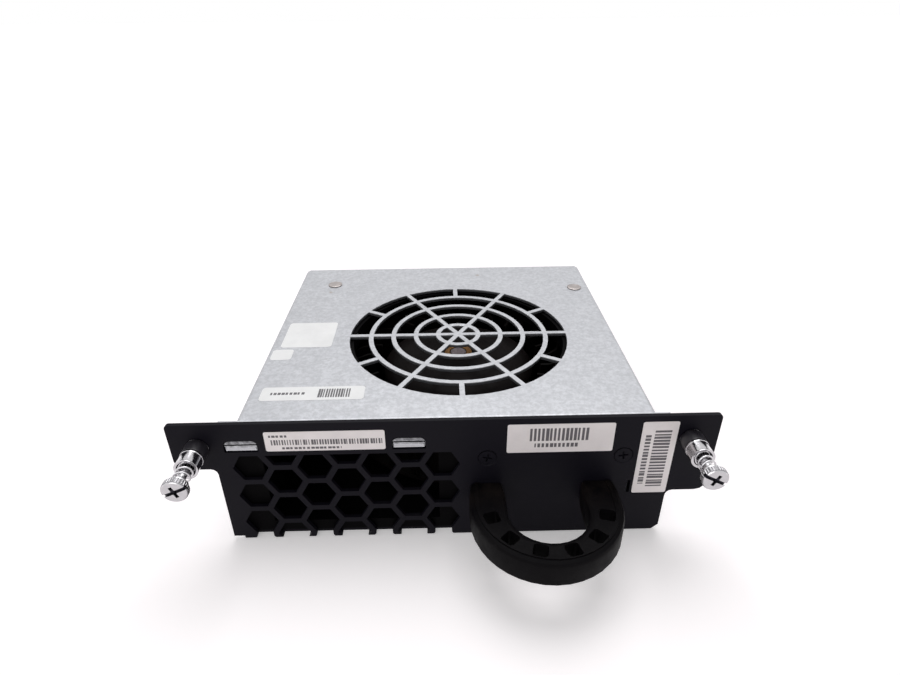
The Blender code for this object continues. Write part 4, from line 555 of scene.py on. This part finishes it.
def label_paper(name, paper, prints):
    """Slightly stained paper with plain bars or dashes.

    Each print is its kind, the axis it runs along, its start and end, the axis across and its two ends there.
    """
    tree = Tree(name, paper, 0.55)
    clouds = tree.noise(160.0, 4.0, 0.6)
    fibres = tree.noise(2600.0, 3.0)
    shade = tree.blend(tree.spread(clouds, 0.0, 1.0, 0.3, 0.75), tint(paper, 0.93), tint(paper, 1.04))
    axes = dict(zip("XYZ", tree.axes()))
    for kind, axis, start, end, across, low, high in prints:
        pitch, narrowest, widest = PRINT_STEPS[kind]
        steps = tree.work_out("DIVIDE", axes[axis], pitch)
        cell = tree.work_out("FLOOR", steps, 0.0)
        chance = tree.add("ShaderNodeTexWhiteNoise", {"W": cell}, noise_dimensions="1D").outputs["Value"]
        width = tree.spread(chance, narrowest, widest)
        printed = tree.work_out("LESS_THAN", tree.work_out("SUBTRACT", steps, cell), width)
        field = tree.times(tree.within(axes[axis], start, end), tree.within(axes[across], low, high))
        ink = tree.times(tree.times(printed, field), 0.9)
        shade = tree.blend(ink, shade, chosen("ink"))
    tree.join(shade, "Base Color")
    tree.join(tree.spread(clouds, 0.45, 0.62), "Roughness")
    tree.bump(fibres, 0.00002, 0.3)
    return tree.material


FINISHES = {
    "zinc": zinc_sheet,
    "tab": tab_zinc,
    "ferrule": ferrule_metal,
    "coating": black_coating,
    "handle": handle_moulding,
    "blower": blower_moulding,
    "impeller": impeller_moulding,
    "bright": bright_metal,
    "sleeve": sleeve_metal,
    "rivet": rivet_metal,
    "shaft": shaft_metal,
    "brass": brass_metal,
    "copper": wound_copper,
    "board": circuit_board,
    "magnet": grey_magnet,
    "insulation": black_insulation,
}
made_finishes = {}


def finish(name):
    """The finish of that name, made once."""
    if name not in made_finishes:
        made_finishes[name] = FINISHES[name]()
    return made_finishes[name]


# Working on meshes as by hand


def clear_selection():
    if bpy.context.object and bpy.context.object.mode != "OBJECT":
        bpy.ops.object.mode_set(mode="OBJECT")
    bpy.ops.object.select_all(action="DESELECT")


def only(piece):
    """Makes one piece the only selected and active one."""
    clear_selection()
    piece.select_set(True)
    bpy.context.view_layer.objects.active = piece


def edit(piece, action="SELECT"):
    only(piece)
    bpy.ops.object.mode_set(mode="EDIT")
    bpy.ops.mesh.select_all(action=action)


def leave():
    bpy.ops.object.mode_set(mode="OBJECT")


def settle(piece):
    """Puts the piece's place, turn and size into its mesh."""
    only(piece)
    bpy.ops.object.transform_apply(location=True, rotation=True, scale=True)


def apply_all(piece):
    only(piece)
    for modifier in list(piece.modifiers):
        bpy.ops.object.modifier_apply(modifier=modifier.name)


def soften(piece, width, segments=2, angle=35.0):
    """Breaks the sharp edges and shades the rest smooth."""
    if width:
        bevel = piece.modifiers.new("edge", "BEVEL")
        bevel.width = width
        bevel.segments = segments
        bevel.limit_method = "ANGLE"
        bevel.angle_limit = math.radians(angle)
        bevel.miter_outer = "MITER_ARC"
        apply_all(piece)
    only(piece)
    bpy.ops.object.shade_smooth_by_angle(angle=math.radians(angle))
    weighted = piece.modifiers.new("flat faces", "WEIGHTED_NORMAL")
    weighted.keep_sharp = True
    weighted.weight = 100
    apply_all(piece)


def paint(piece, material):
    piece.data.materials.clear()
    piece.data.materials.append(material)


def seat(piece, body, material):
    """Gives a finished piece its body and its material."""
    paint(piece, material)
    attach(piece, body)


def body_of(node):
    return next(body for body, nodes in frame["record"]["behaviour"]["bodies"].items() if node in nodes)


def merged_copy(node, name):
    """A copy of a CAD node with its corners merged."""
    piece = bpy.data.objects.new(name, frame["nodes"][node].data.copy())
    bpy.context.scene.collection.objects.link(piece)
    only(piece)
    if piece.data.has_custom_normals:
        bpy.ops.mesh.customdata_custom_splitnormals_clear()
    edit(piece)
    bpy.ops.mesh.remove_doubles(threshold=0.000002)
    leave()
    return piece


def dress(node, material, edge=0.0, angle=35.0, shape=None):
    """A finished copy of a CAD node, reshaped if asked and with softened edges, that stands for it."""
    piece = merged_copy(node, f"{node}_finished")
    if shape:
        shape(piece)
    soften(piece, edge, angle=angle)
    seat(piece, body_of(node), finish(material))
    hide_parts(node)
    return piece


def coat(node, material):
    """A better material on a CAD node that keeps its shape."""
    paint(frame["nodes"][node], finish(material))


def carve(piece, cutter):
    """Takes the cutter's shape out of the piece and removes the cutter."""
    modifier = piece.modifiers.new("carve", "BOOLEAN")
    modifier.operation = "DIFFERENCE"
    modifier.solver = "EXACT"
    modifier.object = cutter
    apply_all(piece)
    bpy.data.objects.remove(cutter)


def side_of(piece):
    """Left or right, from the name of a finished piece such as panel_screw_left_finished."""
    return piece.name.split("_")[2]


def front_middle(node):
    """The middle of a node's front face."""
    low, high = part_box(node)
    return Vector(((low.x + high.x) / 2, low.y, (low.z + high.z) / 2))


def bar(name, centre, size, turn=0.0):
    """A straight bar, turned about Y."""
    clear_selection()
    bpy.ops.mesh.primitive_cube_add(size=1.0, location=centre, rotation=(0.0, turn, 0.0))
    piece = bpy.context.object
    piece.name = name
    piece.scale = size
    settle(piece)
    return piece


def rod(name, centre, radius, length, sides):
    """A round rod along Y."""
    clear_selection()
    bpy.ops.mesh.primitive_cylinder_add(
        vertices=sides, radius=radius, depth=length, location=centre, rotation=(math.pi / 2, 0, 0)
    )
    piece = bpy.context.object
    piece.name = name
    settle(piece)
    return piece


def plate(name, low, high, corner, faces="Z"):
    """A thin plate between two corners, with the corners seen along an axis rounded."""
    low, high = Vector(low), Vector(high)
    clear_selection()
    bpy.ops.mesh.primitive_cube_add(size=1.0, location=(low + high) / 2)
    piece = bpy.context.object
    piece.name = name
    piece.scale = high - low
    settle(piece)
    along = "XYZ".index(faces)
    edit(piece, "DESELECT")
    bpy.ops.mesh.select_mode(type="EDGE")
    leave()
    for edge in piece.data.edges:
        first, last = (piece.data.vertices[index].co for index in edge.vertices)
        step = last - first
        edge.select = abs(step[along]) > 0.9 * step.length
    bpy.ops.object.mode_set(mode="EDIT")
    bpy.ops.mesh.bevel(offset=corner, segments=5, affect="EDGES")
    leave()
    return piece


class DressOperator:
    """Shared settings of the tray's operators."""

    bl_options = {"REGISTER", "UNDO"}


class FANTRAY_OT_cover(DressOperator, bpy.types.Operator):
    """Finish the galvanised cover, the pan and the rivets that hold them"""

    bl_idname = "fantray.cover"
    bl_label = "Cover and pan"

    def execute(self, context):
        sizes = context.scene.tray_sizes
        dress("top_cover", "zinc", sizes.edge_break)
        dress("bottom_pan", "zinc", sizes.edge_break)
        for node in frame["nodes"]:
            if "rivet" in node:
                shape = self.flatten if node.startswith("top") else None
                dress(node, "rivet", 0.00015, 30.0, shape)
        for side in ("left", "right"):
            coat(f"clinch_nut_{side}", "bright")
        return {"FINISHED"}

    def flatten(self, piece):
        """Presses a rivet's head nearly flat on the cover."""
        edit(piece, "DESELECT")
        bpy.ops.mesh.select_mode(type="VERT")
        leave()
        for vertex in piece.data.vertices:
            vertex.select = vertex.co.z > COVER_TOP + 0.00005
        bpy.ops.object.mode_set(mode="EDIT")
        bpy.ops.transform.resize(value=(1.0, 1.0, 0.5), center_override=(0.0, 0.0, COVER_TOP))
        leave()


class FANTRAY_OT_tabs(DressOperator, bpy.types.Operator):
    """Add the pressed step on the cover's two tabs"""

    bl_idname = "fantray.tabs"
    bl_label = "Cover tabs"

    def execute(self, context):
        relief = context.scene.tray_sizes.tab_relief
        face = PLATE_FRONT + TAB_SINK
        back = face + 0.0002
        for side, centre in TAB_PLACES.items():
            low = (centre - TAB_HALF_WIDTH, face - relief, TAB_STEP_Z + 0.0001)
            high = (centre + TAB_HALF_WIDTH, back, TAB_TOP_Z)
            step = plate(f"tab_step_{side}", low, high, 0.0013, "Y")
            soften(step, relief * 0.6, 3)
            seat(step, "tray", finish("tab"))
            low = (centre - TAB_FOOT_HALF_WIDTH, face - relief * 0.7, TAB_FOOT_Z)
            high = (centre + TAB_FOOT_HALF_WIDTH, back, TAB_STEP_Z + 0.00025)
            foot = plate(f"tab_foot_{side}", low, high, 0.0001, "Y")
            soften(foot, relief * 0.4, 2)
            seat(foot, "tray", finish("tab"))
        return {"FINISHED"}


class FANTRAY_OT_faceplate(DressOperator, bpy.types.Operator):
    """Finish the coated faceplate"""

    bl_idname = "fantray.faceplate"
    bl_label = "Faceplate"

    def execute(self, context):
        dress("faceplate", "coating", context.scene.tray_sizes.edge_break)
        return {"FINISHED"}


class FANTRAY_OT_panel_screws(DressOperator, bpy.types.Operator):
    """Finish the faceplate's flat-head screws and cut their cross recesses"""

    bl_idname = "fantray.panel_screws"
    bl_label = "Panel screws"

    def execute(self, context):
        for side in ("left", "right"):
            dress(f"panel_screw_{side}", "coating", 0.00006, 30.0, self.cut_cross)
        return {"FINISHED"}

    def cut_cross(self, piece):
        """Cuts the two arms of the cross recess into the screw's head."""
        sizes = bpy.context.scene.tray_sizes
        side = side_of(piece)
        size = (sizes.recess_length, CROSS_CUTTER_DEPTH, sizes.recess_width)
        for quarter in (0.0, 90.0):
            turn = math.radians(CROSS_TURNS[side] + quarter)
            carve(piece, bar("recess", front_middle(f"panel_screw_{side}"), size, turn))


class FANTRAY_OT_handle(DressOperator, bpy.types.Operator):
    """Finish the pull handle and the screws that hold it"""

    bl_idname = "fantray.handle"
    bl_label = "Pull handle"

    def execute(self, context):
        dress("handle", "handle", context.scene.tray_sizes.moulded_edge, 30.0, self.root)
        for side in ("left", "right"):
            dress(f"handle_screw_{side}", "bright", 0.0001, 30.0)
        return {"FINISHED"}

    def root(self, piece):
        """Ends both arms in plain roots that narrow a little towards the faceplate."""
        cut = PLATE_FRONT - ROOT_CUT
        edit(piece, "DESELECT")
        bpy.ops.mesh.select_mode(type="VERT")
        leave()
        for side in ("left", "right"):
            low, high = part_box(f"handle_screw_{side}")
            axis = Vector(((low.x + high.x) / 2, (low.z + high.z) / 2))
            for vertex in piece.data.vertices:
                inside = (Vector((vertex.co.x, vertex.co.z)) - axis).length < BORE_RADIUS
                if inside and vertex.co.y > PLATE_FRONT - BORE_REACH:
                    vertex.select = True
        bpy.ops.object.mode_set(mode="EDIT")
        bpy.ops.mesh.delete(type="VERT")
        bpy.ops.mesh.select_all(action="SELECT")
        plane = {"plane_co": (0.0, cut, 0.0), "plane_no": (0.0, 1.0, 0.0)}
        bpy.ops.mesh.bisect(**plane, use_fill=True, clear_outer=True)
        bpy.ops.mesh.select_mode(type="FACE")
        leave()
        for face in piece.data.polygons:
            face.select = face.normal.y > 0.99 and abs(face.center.y - cut) < 0.00001
        reach = ROOT_CUT - ROOT_CLEARANCE
        bpy.ops.object.mode_set(mode="EDIT")
        bpy.ops.mesh.extrude_region_move(TRANSFORM_OT_translate={"value": (0.0, reach, 0.0)})
        leave()
        low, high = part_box("handle")
        for first, last in ((low.x, (low.x + high.x) / 2), ((low.x + high.x) / 2, high.x)):
            edit(piece, "DESELECT")
            bpy.ops.mesh.select_mode(type="VERT")
            leave()
            ends = [
                vertex
                for vertex in piece.data.vertices
                if vertex.co.y > cut + reach / 2 and first < vertex.co.x < last
            ]
            for vertex in ends:
                vertex.select = True
            xs, zs = ([vertex.co[axis] for vertex in ends] for axis in (0, 2))
            middle = ((min(xs) + max(xs)) / 2, 0.0, (min(zs) + max(zs)) / 2)
            bpy.ops.object.mode_set(mode="EDIT")
            bpy.ops.transform.resize(value=ROOT_NARROWING, center_override=middle)
            leave()


class FANTRAY_OT_captive_screws(DressOperator, bpy.types.Operator):
    """Finish the ferrules, sleeves, washers and screws, and add the knurl round each knob"""

    bl_idname = "fantray.captive_screws"
    bl_label = "Captive screws"

    def execute(self, context):
        sizes = context.scene.tray_sizes
        for side in ("left", "right"):
            dress(f"ferrule_{side}", "ferrule", 0.0001, 30.0, self.narrow_ferrule)
            dress(f"sleeve_{side}", "sleeve", 0.00006, 30.0, self.widen_sleeve)
            dress(f"screw_washer_{side}", "bright", 0.00006, 30.0)
            metal = knob_metal(side)
            screw = dress(f"captive_screw_{side}", "bright", 0.00005, 30.0, self.open_recess)
            paint(screw, metal)
            knurl = self.knurl(side, sizes.knurl_ribs, sizes.knurl_depth)
            seat(knurl, f"captive_{side}", metal)
        return {"FINISHED"}

    def open_recess(self, piece):
        """Widens the middle of the cross recess."""
        side = side_of(piece)
        turn = SLOT_TURNS[side] + math.radians(45.0)
        carve(piece, bar("root", front_middle(f"captive_screw_{side}"), RECESS_CUTTER, turn))

    def narrow_ferrule(self, piece):
        self.swell(piece, *FERRULE_SHAPE)

    def widen_sleeve(self, piece):
        self.swell(piece, *SLEEVE_SHAPE)

    def swell(self, piece, girth, widest, joint, side):
        """Brings ferrule and sleeve to near one width, and moves their joint towards the faceplate."""
        places = [vertex.co for vertex in piece.data.vertices]
        xs, zs = ([place[axis] for place in places] for axis in (0, 2))
        middle = Vector(((min(xs) + max(xs)) / 2, (min(zs) + max(zs)) / 2))
        for place in places:
            across = Vector((place.x, place.z)) - middle
            if across.length > SLEEVE_INSIDE and place.y < PLATE_FRONT:
                across *= min(across.length * girth, widest) / across.length
                place.x, place.z = middle + across
            if (place.y - joint) * side > 0:
                place.y += JOINT_SHIFT

    def knurl(self, side, ribs, depth):
        """A band round the knob whose side is gathered into ribs."""
        low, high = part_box(f"captive_screw_{side}")
        radius = (high.x - low.x) / 2
        face = front_middle(f"captive_screw_{side}")
        middle = face + Vector((0.0, KNURL_SETBACK, 0.0))
        band = rod(f"knob_knurl_{side}", middle, radius - depth / 2, KNURL_LENGTH, ribs * 2)
        for vertex in band.data.vertices:
            across = Vector((vertex.co.x - middle.x, vertex.co.z - middle.z))
            rib = round(math.atan2(across.y, across.x) / (math.pi / ribs))
            if rib % 2:
                across *= (radius + depth / 2) / across.length
                vertex.co.x = middle.x + across.x
                vertex.co.z = middle.z + across.y
        carve(band, rod("bore", middle, radius - KNURL_THICKNESS, KNURL_LENGTH * 3, 48))
        carve(band, bar("slot", face, SLOT_CUTTER, SLOT_TURNS[side]))
        soften(band, 0.00004, 1, 25.0)
        return band


class FANTRAY_OT_springs(DressOperator, bpy.types.Operator):
    """Wind the springs behind the knobs"""

    bl_idname = "fantray.springs"
    bl_label = "Springs"

    def execute(self, context):
        sizes = context.scene.tray_sizes
        for side in ("left", "right"):
            node = f"spring_{side}"
            low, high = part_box(node)
            wire = sizes.spring_wire
            length = high.y - low.y - wire
            radius = (high.x - low.x - wire) / 2
            clear_selection()
            bpy.ops.mesh.primitive_circle_add(vertices=12, radius=wire / 2, rotation=(math.pi / 2, 0, 0))
            coil = bpy.context.object
            coil.name = f"{node}_coil"
            coil.location = (radius, 0.0, 0.0)
            settle(coil)
            screw = coil.modifiers.new("turns", "SCREW")
            screw.steps = 40
            screw.render_steps = 40
            screw.iterations = sizes.spring_turns
            screw.screw_offset = length / sizes.spring_turns
            apply_all(coil)
            edit(coil, "DESELECT")
            bpy.ops.mesh.select_mode(type="VERT")
            bpy.ops.mesh.select_non_manifold()
            bpy.ops.mesh.fill_holes(sides=0)
            bpy.ops.mesh.select_all(action="SELECT")
            bpy.ops.mesh.normals_make_consistent(inside=False)
            leave()
            coil.rotation_euler = (math.pi / 2, 0.0, 0.0)
            coil.location = ((low.x + high.x) / 2, high.y - wire / 2, (low.z + high.z) / 2)
            settle(coil)
            soften(coil, 0.0, angle=50.0)
            seat(coil, "tray", finish("bright"))
            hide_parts(node)
            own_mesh(coil)
        return {"FINISHED"}


class FANTRAY_OT_labels(DressOperator, bpy.types.Operator):
    """Lay the plain labels on the faceplate and the cover"""

    bl_idname = "fantray.labels"
    bl_label = "Labels"

    def execute(self, context):
        sizes = context.scene.tray_sizes
        thick = sizes.label_thickness
        for name, (left, right, low, high), prints in FRONT_LABELS:
            near, far = (left, PLATE_FRONT - thick, low), (right, PLATE_FRONT + thick, high)
            label = plate(name, near, far, sizes.label_corner / 2, "Y")
            self.lay(label, label_paper(name, chosen("paper"), prints))
        for name, (left, right, near, far), prints in TOP_LABELS:
            low = (left, PLATE_FRONT + near, COVER_TOP - thick)
            high = (right, PLATE_FRONT + far, COVER_TOP + thick)
            label = plate(name, low, high, sizes.label_corner, "Z")
            prints = [(*row[:5], PLATE_FRONT + row[5], PLATE_FRONT + row[6]) for row in prints]
            self.lay(label, label_paper(name, chosen("top_paper"), prints))
        return {"FINISHED"}

    def lay(self, label, paper):
        soften(label, 0.0, angle=30.0)
        seat(label, "tray", paper)


class FANTRAY_OT_blower(DressOperator, bpy.types.Operator):
    """Finish the blower's housing, its lid and their screws"""

    bl_idname = "fantray.blower"
    bl_label = "Blower housing"

    def execute(self, context):
        edge = context.scene.tray_sizes.moulded_edge
        dress("blower_scroll", "blower", edge)
        dress("blower_lid", "blower", edge)
        for index in (1, 2, 3):
            coat(f"lid_screw_{index}", "bright")
        return {"FINISHED"}


class FANTRAY_OT_impeller(DressOperator, bpy.types.Operator):
    """Finish the wheel, its brass ring and the shaft"""

    bl_idname = "fantray.impeller"
    bl_label = "Impeller"

    def execute(self, context):
        dress("impeller", "impeller", 0.00012)
        dress("hub_insert", "brass", 0.00012, 30.0)
        dress("shaft", "shaft", 0.00015, 30.0)
        return {"FINISHED"}


class FANTRAY_OT_motor(DressOperator, bpy.types.Operator):
    """Finish the motor inside the hub"""

    bl_idname = "fantray.motor"
    bl_label = "Motor"

    def execute(self, context):
        for node, material in (
            ("rotor_yoke", "bright"),
            ("rotor_magnet", "magnet"),
            ("shaft_clip", "bright"),
            ("bearing_tube", "brass"),
            ("bearing_lower", "bright"),
            ("bearing_upper", "bright"),
            ("stator", "copper"),
            ("motor_board", "board"),
        ):
            coat(node, material)
        return {"FINISHED"}


class FANTRAY_OT_connector(DressOperator, bpy.types.Operator):
    """Finish the rear connector, its contacts and the lead"""

    bl_idname = "fantray.connector"
    bl_label = "Connector and lead"

    def execute(self, context):
        dress("connector_housing", "blower", 0.00015)
        for index in (1, 2, 3, 4):
            dress(f"contact_{index}", "brass", 0.0001)
        dress("motor_lead", "insulation", 0.0, 50.0)
        return {"FINISHED"}


class FANTRAY_OT_stage(DressOperator, bpy.types.Operator):
    """Lay the pale floor and set the lights and the camera"""

    bl_idname = "fantray.stage"
    bl_label = "Floor, lights and camera"

    def execute(self, context):
        self.floor(context)
        self.world(context)
        self.lamps(context)
        self.camera(context)
        context.scene.view_settings.view_transform = "Standard"
        return {"FINISHED"}

    def floor(self, context):
        """A pale floor, white to the camera and in reflections."""
        clear_selection()
        bpy.ops.mesh.primitive_plane_add(size=12.0, location=(0.0, 0.0, -0.0001))
        floor = bpy.context.object
        floor.name = "floor"
        settle(floor)
        tree = Tree("pale floor", chosen("floor"), 0.7, specular=0.2)
        tree.set("Emission Color", (1.0, 1.0, 1.0, 1.0))
        path = tree.add("ShaderNodeLightPath")
        seen = path.outputs["Is Camera Ray"]
        for output in ("Is Glossy Ray", "Is Transmission Ray"):
            seen = tree.work_out("MAXIMUM", seen, path.outputs[output])
        distance = tree.add("ShaderNodeVectorMath", {0: tree.place}, operation="LENGTH").outputs["Value"]
        glow = tree.spread(distance, 0.30, 1.0, 0.19, 0.45)
        tree.join(tree.times(seen, glow), "Emission Strength")
        grain = tree.noise(300.0, 3.0)
        tree.join(tree.spread(grain, 0.62, 0.78), "Roughness")
        paint(floor, tree.material)

    def world(self, context):
        """A white room that lights the tray at less than its brightness."""
        world = bpy.data.worlds.new("pale room")
        context.scene.world = world
        world.use_nodes = True
        nodes, links = world.node_tree.nodes, world.node_tree.links
        background = nodes["Background"]
        background.inputs["Color"].default_value = (1.0, 1.0, 1.0, 1.0)
        path = nodes.new("ShaderNodeLightPath")
        seen = path.outputs["Is Camera Ray"]
        for output in ("Is Glossy Ray", "Is Transmission Ray"):
            largest = nodes.new("ShaderNodeMath")
            largest.operation = "MAXIMUM"
            links.new(seen, largest.inputs[0])
            links.new(path.outputs[output], largest.inputs[1])
            seen = largest.outputs[0]
        strength = nodes.new("ShaderNodeMapRange")
        strength.inputs["To Min"].default_value = 0.30
        strength.inputs["To Max"].default_value = 1.0
        links.new(seen, strength.inputs["Value"])
        links.new(strength.outputs["Result"], background.inputs["Strength"])

    def lamps(self, context):
        """Three soft square lamps, each aimed at the tray."""
        for name, place, target, size, power in (
            ("top light", (0.05, 0.25, 0.75), (0.0, 0.0, 0.0), 0.6, 3.4),
            ("front light", (-0.25, -0.80, 0.42), (0.0, 0.0, 0.02), 0.6, 1.9),
            ("side light", (-0.7, -0.1, 0.45), (0.0, 0.0, 0.02), 0.5, 0.4),
        ):
            lamp = bpy.data.lights.new(name, "AREA")
            lamp.energy = power
            lamp.size = size
            holder = bpy.data.objects.new(name, lamp)
            context.scene.collection.objects.link(holder)
            holder.location = place
            aim = Vector(target) - Vector(place)
            holder.rotation_euler = aim.to_track_quat("-Z", "Y").to_euler()

    def camera(self, context):
        """The camera stands above the front of the tray and looks down at it."""
        down, aside, roll = (math.radians(angle) for angle in CAMERA_TURNS)
        ahead = Vector((math.sin(aside) * math.cos(down), math.cos(aside) * math.cos(down), -math.sin(down)))
        right = Vector((math.cos(aside), -math.sin(aside), 0.0))
        up = right.cross(ahead)
        level = right * math.cos(roll) + up * math.sin(roll)
        top = up * math.cos(roll) - right * math.sin(roll)
        data = bpy.data.cameras.new("camera")
        data.sensor_width = SENSOR_WIDTH
        data.lens = CAMERA_FOCUS / PHOTO_WIDTH * SENSOR_WIDTH
        data.clip_start = 0.01
        data.clip_end = 20.0
        camera = bpy.data.objects.new("camera", data)
        context.scene.collection.objects.link(camera)
        turn = Matrix((level, top, -ahead)).transposed().to_4x4()
        camera.matrix_world = Matrix.Translation(CAMERA_PLACE) @ turn
        context.scene.camera = camera


STEPS = (
    FANTRAY_OT_stage,
    FANTRAY_OT_cover,
    FANTRAY_OT_tabs,
    FANTRAY_OT_faceplate,
    FANTRAY_OT_panel_screws,
    FANTRAY_OT_handle,
    FANTRAY_OT_captive_screws,
    FANTRAY_OT_springs,
    FANTRAY_OT_labels,
    FANTRAY_OT_blower,
    FANTRAY_OT_impeller,
    FANTRAY_OT_motor,
    FANTRAY_OT_connector,
)


class FANTRAY_PT_panel(bpy.types.Panel):
    """Lists the tray's sizes, colours and operators"""

    bl_label = "Fan Tray"
    bl_idname = "FANTRAY_PT_panel"
    bl_space_type = "VIEW_3D"
    bl_region_type = "UI"
    bl_category = "Fan Tray"

    def draw(self, context):
        layout = self.layout
        for group in (context.scene.tray_sizes, context.scene.tray_colours):
            box = layout.box()
            for name in group.bl_rna.properties.keys():
                if name not in ("rna_type", "name"):
                    box.prop(group, name)
        for step in STEPS:
            layout.operator(step.bl_idname)


CLASSES = (TraySizes, TrayColours, *STEPS, FANTRAY_PT_panel)


def register():
    for cls in CLASSES:
        bpy.utils.register_class(cls)
    bpy.types.Scene.tray_sizes = PointerProperty(type=TraySizes)
    bpy.types.Scene.tray_colours = PointerProperty(type=TrayColours)


def unregister():
    del bpy.types.Scene.tray_colours
    del bpy.types.Scene.tray_sizes
    for cls in reversed(CLASSES):
        bpy.utils.unregister_class(cls)


def main():
    register()
    for step in STEPS:
        group, name = step.bl_idname.split(".")
        getattr(getattr(bpy.ops, group), name)()


if __name__ == "__main__":
    main()
